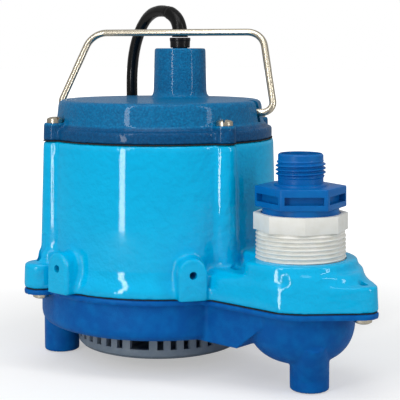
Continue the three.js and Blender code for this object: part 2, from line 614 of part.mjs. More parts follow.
const makeShaft = () => turned([
  [0, SHAFT.low - 4], [SHAFT.studR, SHAFT.low - 4], [SHAFT.studR, SHAFT.low], [SHAFT.impellerR, SHAFT.low],
  [SHAFT.impellerR, IMPELLER.plateTop + 1.5], [SHAFT.radius, IMPELLER.plateTop + 1.5],
  [SHAFT.radius, SHAFT.top - 0.6], [SHAFT.radius - 0.6, SHAFT.top], [0, SHAFT.top],
], 24);

// ---- Cord ----
// The plug lies on the floor and points away from the cord, along its own +X before it is turned
function plugPart(name, body, material) {
  const part = addPart(name, body, material, looseCord);
  const [x, y] = CORD_TAIL[CORD_TAIL.length - 1];
  const direction = radians(PLUG.angle);
  part.rotation.z = direction;
  part.position.set(x + 2 * GAP * Math.cos(direction), y + 2 * GAP * Math.sin(direction), 0);
}

function makePlug() {
  const { length, radius, flat } = PLUG;
  const barrel = new THREE.CylinderGeometry(radius, PLUG.cordEndR, length, 20);
  barrel.rotateZ(-Math.PI / 2);
  barrel.translate(length / 2, 0, flat + 0.2);
  const trim = block(length + 4, 2 * radius + 4, 0.2, 2 * flat, length / 2, 0);
  plugPart('plug_body', solid(barrel).intersect(trim), BLACK_RUBBER);
  const { bladeLength, bladeThick, bladeWidth, bladeSide, pinR, pinLength, pinUp } = PLUG;
  const bladeLow = flat - bladeWidth / 2;
  for (const [index, side] of [-1, 1].entries()) {
    const middleX = length + bladeLength / 2 + GAP;
    const blade = block(bladeLength, bladeThick, bladeLow, bladeLow + bladeWidth, middleX, side * bladeSide);
    plugPart(`plug_blade_${index + 1}`, blade, BRASS);
  }
  const pin = new THREE.CylinderGeometry(pinR, pinR, pinLength, 16);
  pin.rotateZ(-Math.PI / 2);
  pin.translate(length + pinLength / 2 + GAP, 0, flat + pinUp);
  plugPart('plug_ground_pin', solid(pin), BRASS);
}

// ---- Assembly ----
addPart('motor_housing', makeHousing(), CYAN_ENAMEL);
addPart('cover_gasket', makeCoverGasket(), GASKET_FIBRE);
addPart('housing_cover', makeCover(), BLUE_ENAMEL);
addPart('volute', makeVolute(), BLUE_PLASTIC);
addPart('volute_gasket', makeVoluteGasket(), GASKET_FIBRE);
addPart('inlet_strainer', makeStrainer(), GREY_PLASTIC);

SCREW_ANGLES.forEach((angle, index) => {
  const [x, y] = polar(HOUSING.ribCentreR, angle);
  placeScrew(`cover_screw_${index + 1}`, SCREW.coverLength, x, y, COVER.bossTop + GAP, 55 + 40 * index);
});
BASE_SCREWS.forEach(([x, y], index) => {
  placeScrew(`base_screw_${index + 1}`, SCREW.baseLength, x, y, VOLUTE.lipZ - GAP, 35 * index, true);
});

addPart('lift_handle', makeBail(), STAINLESS);

const bushing = addPart('discharge_bushing', makeBushing(), WHITE_PVC);
bushing.position.set(DISCHARGE_X, 0, 0);
bushing.rotation.z = radians(BUSHING.turn);
const adapter = addPart('hose_adapter', makeAdapter(), ADAPTER_PLASTIC);
adapter.position.set(DISCHARGE_X, 0, 0);
adapter.rotation.z = radians(ADAPTER.turn);

const towerPlace = polar(TOWER.offset, TOWER.angle);
addPart('gland_nut', turned([
  [GLAND.boreR, TOWER.topZ - GLAND.stemLength], [GLAND.stemR, TOWER.topZ - GLAND.stemLength],
  [GLAND.stemR, TOWER.topZ + GAP], [GLAND.radius - 0.3, TOWER.topZ + GAP],
  [GLAND.radius, TOWER.topZ + GLAND.height], [GLAND.boreR, TOWER.topZ + GLAND.height],
], 28, ...towerPlace), BLACK_RUBBER);

addPart('stator_core', makeStator(), STEEL);
addPart('winding_upper', winding(STATOR.high + GAP), COPPER);
addPart('winding_lower', winding(STATOR.low - WINDING.height - GAP), COPPER);
addPart('rotor_core', makeRotorCore(), STEEL);
addPart('motor_shaft', makeShaft(), STAINLESS);
const shaftFit = SHAFT.radius + GAP;
const bearing = (low) => ring(shaftFit, BEARING.outerR, low, low + BEARING.width, 32);
addPart('upper_bearing', bearing(BEARING.upperZ), STEEL);
addPart('lower_bearing', bearing(BEARING.lowerZ), STEEL);
const seatTop = HOUSING_FOOT + SEAL.seatH - GAP;
addPart('seal_seat', ring(SEAL.seatBoreR, SEAL.seatR, HOUSING_FOOT, seatTop, 32), CARBON);
const sealTop = HOUSING_FOOT - GAP;
addPart('seal_head', ring(shaftFit, SEAL.headR, sealTop - SEAL.headH, sealTop, 32), CARBON);
addPart('impeller', makeImpeller(), GREY_PLASTIC);
const nutTop = SHAFT.low - GAP;
const nutBody = disc(NUT.radius, nutTop - NUT.height, nutTop, 6);
const nutHole = disc(SHAFT.studR + GAP, nutTop - NUT.height - 1, nutTop + 1, 16);
addPart('impeller_nut', nutBody.subtract(nutHole), STAINLESS);
const { length: capLength, width: capWidth, top: capTop, place: capPlace, angle: capAngle } = PROTECTOR;
const protectorFoot = STATOR.high + WINDING.height + 0.8;
addPart('thermal_protector', block(capLength, capWidth, protectorFoot, capTop, ...capPlace, capAngle), CARBON);
['brown', 'white', 'green'].forEach((colour, index) => {
  const side = (1 - index) * LEAD.pitch;
  const [x, y] = polar(TOWER.offset, TOWER.angle);
  const [endX, endY] = polar(LEAD.endR, TOWER.angle + (index - 1) * LEAD.spread);
  const route = LEAD.bendZ.map((z, i) => (i < 3 ? [x + side, y, z] : [endX, endY, z]));
  const leadFinish = [finish(0x5a3418, 0.5), finish(0xe8e8e4, 0.5), finish(0x1f7a3a, 0.5)][index];
  addPart(`lead_${colour}`, swept(route, LEAD.radius, 8, 10), leadFinish);
});

// The boot takes the start of the cord's route, and the cord goes on from its end
const routePoints = CORD_ROUTE.map((p) => new THREE.Vector3(...p));
const routeCurve = new THREE.CatmullRomCurve3(routePoints, false, 'centripetal');
const routeLength = routeCurve.getLength();
function along(from, to, count) {
  const places = Array.from({ length: count }, (_, i) => from + (to - from) * i / (count - 1));
  return places.map((distance) => routeCurve.getPointAt(distance / routeLength).toArray());
}
addPart('strain_relief', swept(along(0, BOOT.length, 17), BOOT.radius, 12, 8), BLACK_RUBBER, looseCord);
const cordPoints = along(BOOT.length + 0.4, routeLength, 73);
addPart('power_cord', swept(cordPoints, CORD_D / 2, 10, 26), BLACK_RUBBER, looseCord);
addPart('cord_tail', swept(CORD_TAIL.slice(HIDDEN_TAIL_POINTS), CORD_D / 2, 10, 10), BLACK_RUBBER, looseCord);
const halfWidth = COIL.turnsPerLayer * CORD_D / 2 + CORD_D / 2;
const coilTop = COIL.layers * CORD_D + 0.2;
const coilRing = ring(COIL.meanR - halfWidth, COIL.meanR + halfWidth, 0.2, coilTop, 40, COIL.x, COIL.y);
addPart('cord_coil', coilRing, BLACK_RUBBER, looseCord);
makePlug();

// ---- Frame: the pump's own box, without the cord, is centred on the origin and stands on z = 0 ----
pump.updateMatrixWorld(true);
const middle = new THREE.Box3().setFromObject(pump, true).getCenter(new THREE.Vector3());
const model = new THREE.Group();
model.add(pump, looseCord);
model.position.set(-middle.x, -middle.y, 0);
model.updateMatrixWorld(true);

export default model;
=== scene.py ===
# %% [markdown]
# # A submersible sump pump, built around its CAD frame
# A pump like this is a stack of castings: a blue plastic volute on three feet, a cyan motor housing with
# the discharge on its side, and a blue cover with a cord tower. A wire bail lifts it. The CAD frame says
# where each piece sits and how it moves; this script gives every piece its finished surface.
# The first cell loads that frame and keeps its pieces, each with its place baked into its mesh.

# %% Load the frame
import math

import bmesh
import bpy
from mathutils import Matrix, Vector


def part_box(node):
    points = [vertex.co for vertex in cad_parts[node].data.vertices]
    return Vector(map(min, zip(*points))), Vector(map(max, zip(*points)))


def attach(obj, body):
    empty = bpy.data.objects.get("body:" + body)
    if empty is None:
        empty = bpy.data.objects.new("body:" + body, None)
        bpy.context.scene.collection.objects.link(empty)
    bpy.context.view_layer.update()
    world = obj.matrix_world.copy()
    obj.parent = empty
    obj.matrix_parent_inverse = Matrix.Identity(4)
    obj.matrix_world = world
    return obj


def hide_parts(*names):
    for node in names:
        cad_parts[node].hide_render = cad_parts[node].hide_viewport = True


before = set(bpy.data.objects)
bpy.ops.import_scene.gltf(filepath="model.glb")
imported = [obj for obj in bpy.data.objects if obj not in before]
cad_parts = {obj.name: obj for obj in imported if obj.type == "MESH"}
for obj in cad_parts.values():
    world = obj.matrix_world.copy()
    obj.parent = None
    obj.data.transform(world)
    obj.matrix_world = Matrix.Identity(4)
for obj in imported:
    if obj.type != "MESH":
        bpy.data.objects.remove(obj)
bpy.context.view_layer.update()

MM = 0.001

# %% [markdown]
# ## Places
# Every length below is in millimetres from the motor's axis on the floor, because that is how a fitter
# would measure the pump. Two axes come from the frame: the shaft's and the discharge's. `at` turns a
# place in those millimetres into the frame's metres.

# %% Axes and places
shaft_low, shaft_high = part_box("motor_shaft")
MOTOR_AXIS = (shaft_low + shaft_high) / 2
fitting_low, fitting_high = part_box("discharge_bushing")
DISCHARGE = (fitting_low + fitting_high) / 2
DISCHARGE_X = (DISCHARGE.x - MOTOR_AXIS.x) / MM


def at(x, y, z):
    return Vector((MOTOR_AXIS.x + x * MM, MOTOR_AXIS.y + y * MM, z * MM))


def polar(radius, degrees):
    return radius * math.cos(math.radians(degrees)), radius * math.sin(math.radians(degrees))


SCREW_ANGLES = (-112, -14, 67, 160)
EAR_ANGLES = (-110, 67, 160)
EAR_R = 75
TIP_X = 143.7
print("discharge axis at", round(DISCHARGE_X, 2), "mm from the motor axis")

# %% [markdown]
# ## Camera, floor and light
# The camera stands level with the handle and looks straight ahead; its lens is shifted down to the pump,
# as a view camera's is, so the verticals stay parallel. The floor is a plain pale sheet. One tall narrow
# panel stands on the floor in front and draws the long upright highlights on the enamel; a weaker one
# stands at the right. The sky is white to the camera and softer to the pump, which keeps colours deep.

# %% Camera
CAMERA_PLACE = (463, -484, 178.7)
CAMERA_HEADING = 41.7
LENS = 100.8
LENS_SHIFT = -0.3725

camera_data = bpy.data.cameras.new("studio_camera")
camera_data.lens = LENS
camera_data.sensor_width = 36
camera_data.clip_end = 20
camera_data.shift_y = LENS_SHIFT
camera = bpy.data.objects.new("studio_camera", camera_data)
camera.location = at(*CAMERA_PLACE)
camera.rotation_euler = (math.radians(90), 0, math.radians(CAMERA_HEADING))
bpy.context.scene.collection.objects.link(camera)
bpy.context.scene.camera = camera
bpy.context.scene.view_settings.view_transform = "Standard"
print("camera", [round(c, 3) for c in camera.location])


# %% Floor and light
def flat_finish(name, color, roughness):
    material = bpy.data.materials.new(name)
    material.use_nodes = True
    shader = material.node_tree.nodes["Principled BSDF"]
    shader.inputs["Base Color"].default_value = (*color, 1)
    shader.inputs["Roughness"].default_value = roughness
    return material


bpy.ops.mesh.primitive_plane_add(size=16, location=(0, 0, -0.0002))
floor = bpy.context.object
floor.name = "studio_floor"
paper = flat_finish("floor_paper", (0.62, 0.62, 0.62), 0.95)
paper_nodes, paper_links = paper.node_tree.nodes, paper.node_tree.links
paper_shader = paper_nodes["Principled BSDF"]
paper_shader.inputs["Specular IOR Level"].default_value = 0.0
paper_shader.inputs["Emission Color"].default_value = (1, 1, 1, 1)
far = paper_nodes.new("ShaderNodeVectorMath")
far.operation = "LENGTH"
paper_links.new(paper_nodes.new("ShaderNodeTexCoord").outputs["Object"], far.inputs[0])
glow = paper_nodes.new("ShaderNodeMapRange")
for label, value in {"From Min": 0.15, "From Max": 0.6, "To Min": 0.42, "To Max": 1.0}.items():
    glow.inputs[label].default_value = value
paper_links.new(far.outputs["Value"], glow.inputs["Value"])
seen = paper_nodes.new("ShaderNodeMath")
seen.operation = "MULTIPLY"
paper_links.new(glow.outputs["Result"], seen.inputs[0])
paper_links.new(paper_nodes.new("ShaderNodeLightPath").outputs["Is Camera Ray"], seen.inputs[1])
paper_links.new(seen.outputs["Value"], paper_shader.inputs["Emission Strength"])
floor.data.materials.append(paper)

world = bpy.data.worlds.new("studio_sky")
world.use_nodes = True
sky_nodes, sky_links = world.node_tree.nodes, world.node_tree.links
sky = sky_nodes["Background"]
sky.inputs["Color"].default_value = (1, 1, 1, 1)
looked_at = sky_nodes.new("ShaderNodeLightPath").outputs["Is Camera Ray"]
sky_strength = sky_nodes.new("ShaderNodeMapRange")
sky_strength.inputs["To Min"].default_value = 0.42
sky_strength.inputs["To Max"].default_value = 1.0
sky_links.new(looked_at, sky_strength.inputs["Value"])
sky_links.new(sky_strength.outputs["Result"], sky.inputs["Strength"])
bpy.context.scene.world = world


def soft_panel(name, place, size_x, size_y, watts, aim=(30, 0, 90)):
    light = bpy.data.lights.new(name, "AREA")
    light.shape = "RECTANGLE"
    light.size = size_x
    light.size_y = size_y
    light.energy = watts
    panel = bpy.data.objects.new(name, light)
    panel.location = at(*place)
    panel.rotation_euler = (at(*aim) - panel.location).to_track_quat("-Z", "Y").to_euler()
    bpy.context.scene.collection.objects.link(panel)
    return panel


soft_panel("panel_front", (110, -760, 600), 0.07, 1.2, 4.4, aim=(30, 0, 600))
soft_panel("panel_right", (900, 120, 520), 0.10, 0.9, 2.5)
soft_panel("panel_top", (150, -250, 1100), 0.8, 0.5, 3)
print("floor and three soft panels")

# %% [markdown]
# ## Mesh helpers
# Three small helpers make nearly every raw shape: `turned` spins a profile round an upright axis like a
# lathe, `prism` pulls an outline up, and `tube` draws a round bar along points. `cut` takes tools away
# from a piece, and `cast` melts overlapping shapes into one skin: a fine voxel remesh joins them and a few
# rounds of smoothing leave the soft inside corners that a sand casting has.


# %% Raw shapes
def link_mesh(name, vertices, faces):
    mesh = bpy.data.meshes.new(name)
    mesh.from_pydata([tuple(v) for v in vertices], [], faces)
    mesh.validate()
    piece = bpy.data.objects.new(name, mesh)
    bpy.context.scene.collection.objects.link(piece)
    return piece


def turned(name, profile, sides=96, x=0, y=0, ring=False):
    """Profile of (radius, z) from low to high up the outside; ring=True closes it on itself."""
    vertices, rows = [], []
    for radius, z in profile:
        if radius == 0:
            rows.append([len(vertices)] * sides)
            vertices.append(at(x, y, z))
            continue
        rows.append(list(range(len(vertices), len(vertices) + sides)))
        for step in range(sides):
            angle = 2 * math.pi * step / sides
            vertices.append(at(x + radius * math.cos(angle), y + radius * math.sin(angle), z))
    if ring:
        rows.append(rows[0])
    faces = []
    for low, high in zip(rows, rows[1:]):
        for step in range(sides):
            after = (step + 1) % sides
            face = [low[step], low[after], high[after], high[step]]
            face = [v for i, v in enumerate(face) if v not in face[:i]]
            if len(face) > 2:
                faces.append(face)
    return link_mesh(name, vertices, faces)


def disc(name, radius, low, high, sides=64, x=0, y=0, top=None):
    top = radius if top is None else top
    return turned(name, [(0, low), (radius, low), (top, high), (0, high)], sides, x, y)


def prism(name, outline, low, high, top_outline=None):
    top_outline = top_outline or outline
    count = len(outline)
    vertices = [at(x, y, low) for x, y in outline] + [at(x, y, high) for x, y in top_outline]
    faces = [list(range(count))[::-1], list(range(count, 2 * count))]
    faces += [[i, (i + 1) % count, count + (i + 1) % count, count + i] for i in range(count)]
    return link_mesh(name, vertices, faces)


def box(name, size, centre, degrees=0):
    """A block turned about Z: size along its own length, width and height."""
    half = [s / 2 for s in size]
    corners = [(-1, -1), (1, -1), (1, 1), (-1, 1)]
    turn = math.radians(degrees)
    outline = []
    for sx, sy in corners:
        dx, dy = sx * half[0], sy * half[1]
        outline.append((centre[0] + dx * math.cos(turn) - dy * math.sin(turn),
                        centre[1] + dx * math.sin(turn) + dy * math.cos(turn)))
    return prism(name, outline, centre[2] - half[2], centre[2] + half[2])


def lying_rod(name, radius, start, end, z, degrees, sides=32):
    """A round rod pointing away from the motor axis."""
    rod = turned(name, [(0, 0), (radius, 0), (radius, end - start), (0, end - start)], sides)
    rod.data.transform(Matrix.Translation(-at(0, 0, 0)))
    turn = Matrix.Rotation(math.radians(degrees), 4, "Z") @ Matrix.Rotation(math.radians(90), 4, "Y")
    place = at(*polar(start, degrees), z)
    rod.data.transform(Matrix.Translation(place) @ turn)
    return rod


def arc(radius, start, end, steps, x=0, y=0):
    angles = [math.radians(start + (end - start) * i / steps) for i in range(steps + 1)]
    return [(x + radius * math.cos(a), y + radius * math.sin(a)) for a in angles]


# %% Joining, cutting and casting
def apply_modifiers(piece):
    graph = bpy.context.evaluated_depsgraph_get()
    mesh = bpy.data.meshes.new_from_object(piece.evaluated_get(graph))
    old = piece.data
    piece.modifiers.clear()
    piece.data = mesh
    bpy.data.meshes.remove(old)
    return piece


def join(name, parts):
    """One object holding all the parts' faces."""
    gathered = bmesh.new()
    for part in parts:
        gathered.from_mesh(part.data)
    mesh = bpy.data.meshes.new(name)
    gathered.to_mesh(mesh)
    gathered.free()
    for part in parts:
        bpy.data.objects.remove(part)
    piece = bpy.data.objects.new(name, mesh)
    bpy.context.scene.collection.objects.link(piece)
    return piece


def loft_faces(count, sides):
    """Quads between rings of points, with a cap on each end."""
    faces = []
    for i in range(count - 1):
        low, high = i * sides, (i + 1) * sides
        for step in range(sides):
            after = (step + 1) % sides
            faces.append([low + step, low + after, high + after, high + step])
    faces.append(list(range(sides))[::-1])
    faces.append([(count - 1) * sides + step for step in range(sides)])
    return faces


def tube(name, points, radii, sides=24):
    """A round bar along points, with its own radius at each of them."""
    count = len(points)
    tangents = [(points[min(i + 1, count - 1)] - points[max(i - 1, 0)]).normalized() for i in range(count)]
    side = tangents[0].orthogonal().normalized()
    vertices = []
    for i, point in enumerate(points):
        side = (side - tangents[i] * side.dot(tangents[i])).normalized()
        other = tangents[i].cross(side)
        for step in range(sides):
            angle = 2 * math.pi * step / sides
            vertices.append(point + (side * math.cos(angle) + other * math.sin(angle)) * radii[i] * MM)
    return link_mesh(name, vertices, loft_faces(count, sides))


def cut(piece, *tools):
    for tool in tools:
        modifier = piece.modifiers.new("cut", "BOOLEAN")
        modifier.operation = "DIFFERENCE"
        modifier.solver = "MANIFOLD"
        modifier.object = tool
    apply_modifiers(piece)
    for tool in tools:
        bpy.data.objects.remove(tool)
    return piece


def cast(name, parts, voxel, rounds):
    """Overlapping closed shapes melted into one skin with soft corners."""
    piece = join(name, parts)
    remesh = piece.modifiers.new("remesh", "REMESH")
    remesh.mode = "VOXEL"
    remesh.voxel_size = voxel * MM
    smooth = piece.modifiers.new("smooth", "SMOOTH")
    smooth.factor = 0.5
    smooth.iterations = rounds
    return apply_modifiers(piece)


def polish(piece, angle=35):
    """Smooth shading with the real edges kept sharp."""
    for face in piece.data.polygons:
        face.use_smooth = True
    piece.data.set_sharp_from_angle(angle=math.radians(angle))
    return piece


def rounded(piece, width, segments=2, angle=30):
    """Bevels every edge sharper than the angle."""
    bevel = piece.modifiers.new("bevel", "BEVEL")
    bevel.width = width * MM
    bevel.segments = segments
    bevel.limit_method = "ANGLE"
    bevel.angle_limit = math.radians(angle)
    bevel.harden_normals = False
    return apply_modifiers(piece)


def triangles(piece):
    return sum(len(face.vertices) - 2 for face in piece.data.polygons)


def settle(piece, body, slot, material, *nodes):
    """Gives a finished piece its material and its body, and hides the CAD nodes it stands for; slot is not
    used.
    """
    piece.data.materials.clear()
    piece.data.materials.append(material)
    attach(piece, body)
    if nodes:
        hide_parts(*nodes)
    print(piece.name, triangles(piece), "triangles")
    return piece


# %% [markdown]
# ## Finishes
# Real enamel over a sand casting is never flat: broad soft lumps come from the sand, a finer orange peel
# from the spray, and the colour thins a little on the high spots. `surface` builds that family of looks
# from noise on Object coordinates, so that it sticks to the piece from every side. Its arguments are the
# size and depth of the lumps and of the peel, and how much the colour and the roughness wander.


# %% The surface recipe
def surface(name, color, second, roughness, metallic=0.0, coat=0.0, lumps=(6, 0.3), peel=(1.2, 0.1),
            wander=(14, 0.5), rough_spread=0.06, stretch=None, gloss=0.5, painted_shade_below=None):
    material = bpy.data.materials.new(name)
    material.use_nodes = True
    nodes, links = material.node_tree.nodes, material.node_tree.links
    shader = nodes["Principled BSDF"]
    shader.inputs["Metallic"].default_value = metallic
    shader.inputs["Coat Weight"].default_value = coat
    shader.inputs["Coat Roughness"].default_value = 0.05
    shader.inputs["Specular IOR Level"].default_value = gloss
    place = nodes.new("ShaderNodeTexCoord").outputs["Object"]
    if stretch:
        mapping = nodes.new("ShaderNodeMapping")
        mapping.inputs["Scale"].default_value = stretch
        links.new(place, mapping.inputs["Vector"])
        place = mapping.outputs["Vector"]

    def noise(size, detail):
        node = nodes.new("ShaderNodeTexNoise")
        node.inputs["Scale"].default_value = 1 / (size * MM)
        node.inputs["Detail"].default_value = detail
        links.new(place, node.inputs["Vector"])
        return node.outputs["Fac"]

    def ramp(source, low, high, start, end):
        node = nodes.new("ShaderNodeMapRange")
        node.inputs["From Min"].default_value = start
        node.inputs["From Max"].default_value = end
        node.inputs["To Min"].default_value = low
        node.inputs["To Max"].default_value = high
        links.new(source, node.inputs["Value"])
        return node.outputs["Result"]

    mix = nodes.new("ShaderNodeMix")
    mix.data_type = "RGBA"
    mix.inputs["A"].default_value = (*color, 1)
    mix.inputs["B"].default_value = (*second, 1)
    links.new(ramp(noise(wander[0], 3), 0, wander[1], 0.4, 0.7), mix.inputs["Factor"])
    paint = mix.outputs["Result"]
    # Painted shade: below the given height the base colour is multiplied by a darker tint.
    if painted_shade_below:
        height = nodes.new("ShaderNodeSeparateXYZ")
        links.new(nodes.new("ShaderNodeTexCoord").outputs["Object"], height.inputs["Vector"])
        shade = nodes.new("ShaderNodeMix")
        shade.data_type = "RGBA"
        shade.blend_type = "MULTIPLY"
        shade.inputs["B"].default_value = (*painted_shade_below[1], 1)
        edge = painted_shade_below[0] * MM
        links.new(ramp(height.outputs["Z"], 1, 0, edge - 0.0006, edge + 0.0006), shade.inputs["Factor"])
        links.new(paint, shade.inputs["A"])
        paint = shade.outputs["Result"]
    links.new(paint, shader.inputs["Base Color"])
    grain = noise(peel[0], 2)
    rough = ramp(grain, roughness - rough_spread, roughness + rough_spread, 0.35, 0.65)
    links.new(rough, shader.inputs["Roughness"])
    broad = nodes.new("ShaderNodeBump")
    broad.inputs["Strength"].default_value = 1
    broad.inputs["Distance"].default_value = lumps[1] * MM
    links.new(noise(lumps[0], 2), broad.inputs["Height"])
    fine = nodes.new("ShaderNodeBump")
    fine.inputs["Strength"].default_value = 1
    fine.inputs["Distance"].default_value = peel[1] * MM
    links.new(grain, fine.inputs["Height"])
    links.new(broad.outputs["Normal"], fine.inputs["Normal"])
    links.new(fine.outputs["Normal"], shader.inputs["Normal"])
    return material


# %% Enamels and plastics
CYAN = surface("cyan_enamel", (0.0, 0.42, 0.74), (0.0, 0.46, 0.79), 0.3, coat=0.6, gloss=0.0,
               lumps=(5.5, 1.1), peel=(1.7, 0.16), wander=(20, 0.6))
# The cover's flange band below the step at 136.4 mm gets painted shade, a darker navy.
COVER_BLUE = surface("cover_enamel", (0.0, 0.115, 0.28), (0.0, 0.19, 0.42), 0.42, coat=0.2, gloss=0.1,
                     lumps=(4, 0.6), peel=(0.9, 0.5), wander=(1.2, 0.9), rough_spread=0.1,
                     painted_shade_below=(136.4, (1, 0.5, 0.6)))
VOLUTE_BLUE = surface("volute_plastic", (0.0, 0.095, 0.37), (0.0, 0.135, 0.44), 0.45, gloss=0.1,
                      lumps=(9, 0.2), peel=(0.8, 0.12), wander=(6, 0.9), rough_spread=0.08)
ADAPTER_BLUE = surface("adapter_plastic", (0.0, 0.115, 0.40), (0.0, 0.15, 0.45), 0.36, gloss=0.2,
                       lumps=(8, 0.06), peel=(0.6, 0.05), wander=(9, 0.7))
STRAINER_GREY = surface("strainer_plastic", (0.17, 0.22, 0.275), (0.22, 0.27, 0.32), 0.5,
                        lumps=(6, 0.08), peel=(0.5, 0.05), wander=(5, 0.8))
WHITE_PVC = surface("white_pvc", (0.78, 0.78, 0.74), (0.70, 0.69, 0.62), 0.42, gloss=0.3,
                    lumps=(7, 0.05), peel=(0.5, 0.03), wander=(6, 0.6))
IMPELLER_BLACK = surface("impeller_plastic", (0.06, 0.07, 0.08), (0.08, 0.09, 0.1), 0.5, wander=(4, 0.8))

# %% Rubber, metals and wire
RUBBER = surface("black_rubber", (0.002, 0.002, 0.002), (0.004, 0.004, 0.004), 0.3, gloss=0.2,
                 lumps=(5, 0.05), peel=(0.5, 0.03), wander=(7, 0.8))
JACKET = surface("cord_jacket", (0.002, 0.002, 0.002), (0.004, 0.004, 0.004), 0.3, coat=0.5, gloss=0.1,
                 lumps=(9, 0.12), peel=(0.7, 0.03), wander=(10, 0.8))
NYLON = surface("gland_nylon", (0.002, 0.002, 0.003), (0.005, 0.005, 0.006), 0.3, gloss=0.3,
                lumps=(5, 0.05), peel=(0.6, 0.03), wander=(5, 0.7))
FIBRE = surface("gasket_fibre", (0.008, 0.009, 0.01), (0.02, 0.02, 0.022), 0.85,
                lumps=(2, 0.1), peel=(0.3, 0.06), wander=(2, 0.8))
STAINLESS = surface("stainless", (0.66, 0.60, 0.48), (0.56, 0.50, 0.39), 0.26, metallic=1.0,
                    lumps=(9, 0.05), peel=(0.35, 0.02), wander=(6, 0.6))
LAMINATIONS = surface("laminations", (0.32, 0.33, 0.34), (0.2, 0.2, 0.21), 0.42, metallic=1.0,
                      lumps=(30, 0.02), peel=(1.0, 0.1), wander=(2, 0.7), stretch=(0.05, 0.05, 1))
BEARING_STEEL = surface("bearing_steel", (0.5, 0.51, 0.53), (0.42, 0.43, 0.45), 0.2, metallic=1.0,
                        lumps=(20, 0.02), peel=(0.4, 0.01), wander=(8, 0.4))
COPPER = surface("copper_wire", (0.46, 0.133, 0.026), (0.33, 0.08, 0.015), 0.32, metallic=1.0, coat=0.5,
                 lumps=(3, 0.5), peel=(0.9, 0.35), wander=(1.5, 0.8))
BRASS = surface("plug_brass", (0.58, 0.38, 0.065), (0.5, 0.32, 0.06), 0.28, metallic=1.0,
                lumps=(9, 0.03), peel=(0.4, 0.02), wander=(3, 0.5))
CARBON = surface("seal_carbon", (0.024, 0.025, 0.027), (0.04, 0.04, 0.043), 0.45,
                 lumps=(6, 0.03), peel=(0.4, 0.03), wander=(3, 0.7))
LEADS = {
    "brown": surface("lead_brown", (0.10, 0.034, 0.009), (0.13, 0.045, 0.012), 0.4, wander=(3, 0.7)),
    "white": surface("lead_white", (0.8, 0.8, 0.77), (0.7, 0.7, 0.66), 0.4, wander=(3, 0.7)),
    "green": surface("lead_green", (0.014, 0.195, 0.042), (0.02, 0.23, 0.05), 0.4, wander=(3, 0.7)),
}
print("materials:", len(bpy.data.materials))

# %% [markdown]
# ## The motor housing
# One iron casting: a slightly tapered can, four screw ribs, a base flange with ears, two arched pads
# with drilled holes, and the discharge drum on the side. Every wall has draft, because the casting has to
# leave its mould, and every inside corner is round. It is built the way the pattern is built, from plain
# overlapping solids, then melted into one skin by `cast`. Bores, holes and the motor's chamber are cut
# afterwards, as a machine shop would, so they keep crisp edges.

# %% Heights and radii of the housing
PARTING_LOW, HOUSING_FOOT, HOUSING_TOP = 45.15, 45.75, 127.45
WALL_TOP_R, WALL_FOOT_R, FLANGE_R = 67.4, 69.0, 72.5
DRUM_X, DRUM_R, DRUM_TOP = 101.0, 32.5, 68.6
PAD_ANGLES, PAD_REACH, PAD_Z = (-33.5, -91.7), 79.4, 59.7
VENT_PLACE = polar(78, -14)
RIB_R = 66.0


def discharge_outline(big, side, small, tip=TIP_X, start_x=40):
    """Seen from above: straight flanks, a round end and a tapering ear."""
    lean = math.degrees(math.acos((big - small) / (tip - DISCHARGE_X)))
    start = math.degrees(math.asin(min(1, side / big)))
    return ([(start_x, -side)] + arc(big, -start, -lean, 12, DISCHARGE_X) + arc(small, -lean, lean, 12, tip)
            + arc(big, lean, start, 12, DISCHARGE_X) + [(start_x, side)])


def drum_outline(radius):
    """The drum's round front, its straight back flank and a bay for the vent hole."""
    front = arc(radius, -108, 90, 44, DRUM_X)
    return front + [(60, radius), (60, -7), (82, -9)]


def arched_pad(name, degrees, reach, half=7.8, crown=68.6):
    """A pad with a half-round head that stands out of the wall."""
    head = [(-half, HOUSING_FOOT), (half, HOUSING_FOOT)] + arc(half, 0, 180, 14, 0, crown - half)
    pad = prism(name, head, 0, reach - 55)
    pad.data.transform(Matrix.Translation(-at(0, 0, 0)))
    stand = Matrix(((0, 0, 1, 0), (1, 0, 0, 0), (0, 1, 0, 0), (0, 0, 0, 1)))
    out = Matrix.Translation(Vector((55 * MM, 0, 0)))
    turn = Matrix.Rotation(math.radians(degrees), 4, "Z")
    pad.data.transform(Matrix.Translation(at(0, 0, 0)) @ turn @ out @ stand)
    return pad


# %% Cast the housing
can = turned("can", [
    (0, HOUSING_FOOT), (FLANGE_R, HOUSING_FOOT), (FLANGE_R, 49.7), (71.2, 52.0), (69.6, 55.0),
    (WALL_FOOT_R, 58.5), (WALL_TOP_R, HOUSING_TOP), (0, HOUSING_TOP),
], 128)
housing_parts = [can]
for angle in SCREW_ANGLES:
    x, y = polar(RIB_R, angle)
    housing_parts.append(disc("rib", 8.3, HOUSING_FOOT, HOUSING_TOP, 32, x, y, 6.5))
for angle in EAR_ANGLES:
    x, y = polar(EAR_R, angle)
    housing_parts.append(disc("ear", 9.6, HOUSING_FOOT, 59.6, 32, x, y, 9.3))
    x, y = polar(RIB_R + 3, angle)
    housing_parts.append(disc("ear_root", 9.8, HOUSING_FOOT, 66.0, 32, x, y, 7.0))
base_outline = discharge_outline(36.5, 35.0, 8.0)
shelf_outline = discharge_outline(35.4, 34.4, 7.6)
housing_parts.append(prism("discharge_foot", base_outline, HOUSING_FOOT, 52, shelf_outline))
housing_parts.append(prism("ear_shelf", shelf_outline, 51, 58.9, discharge_outline(34.4, 33.6, 7.4)))
EAR_FILLET = ((58, 60.0, 34.4, 12, 133), (59, 61.6, 34.0, 15, 128), (60, 64.0, 33.6, 19, 123))
for low, high, big, small, tip in EAR_FILLET:
    housing_parts.append(prism("ear_fillet", discharge_outline(big, 30, small, tip, 90), low, high,
                               discharge_outline(big - 0.4, 30, small - 1.5, tip - 1.5, 90)))
housing_parts.append(prism("drum", drum_outline(34.6), 51, 60, drum_outline(DRUM_R + 1.0)))
housing_parts.append(prism("drum_head", drum_outline(DRUM_R + 1.0), 59, DRUM_TOP, drum_outline(DRUM_R + 0.2)))
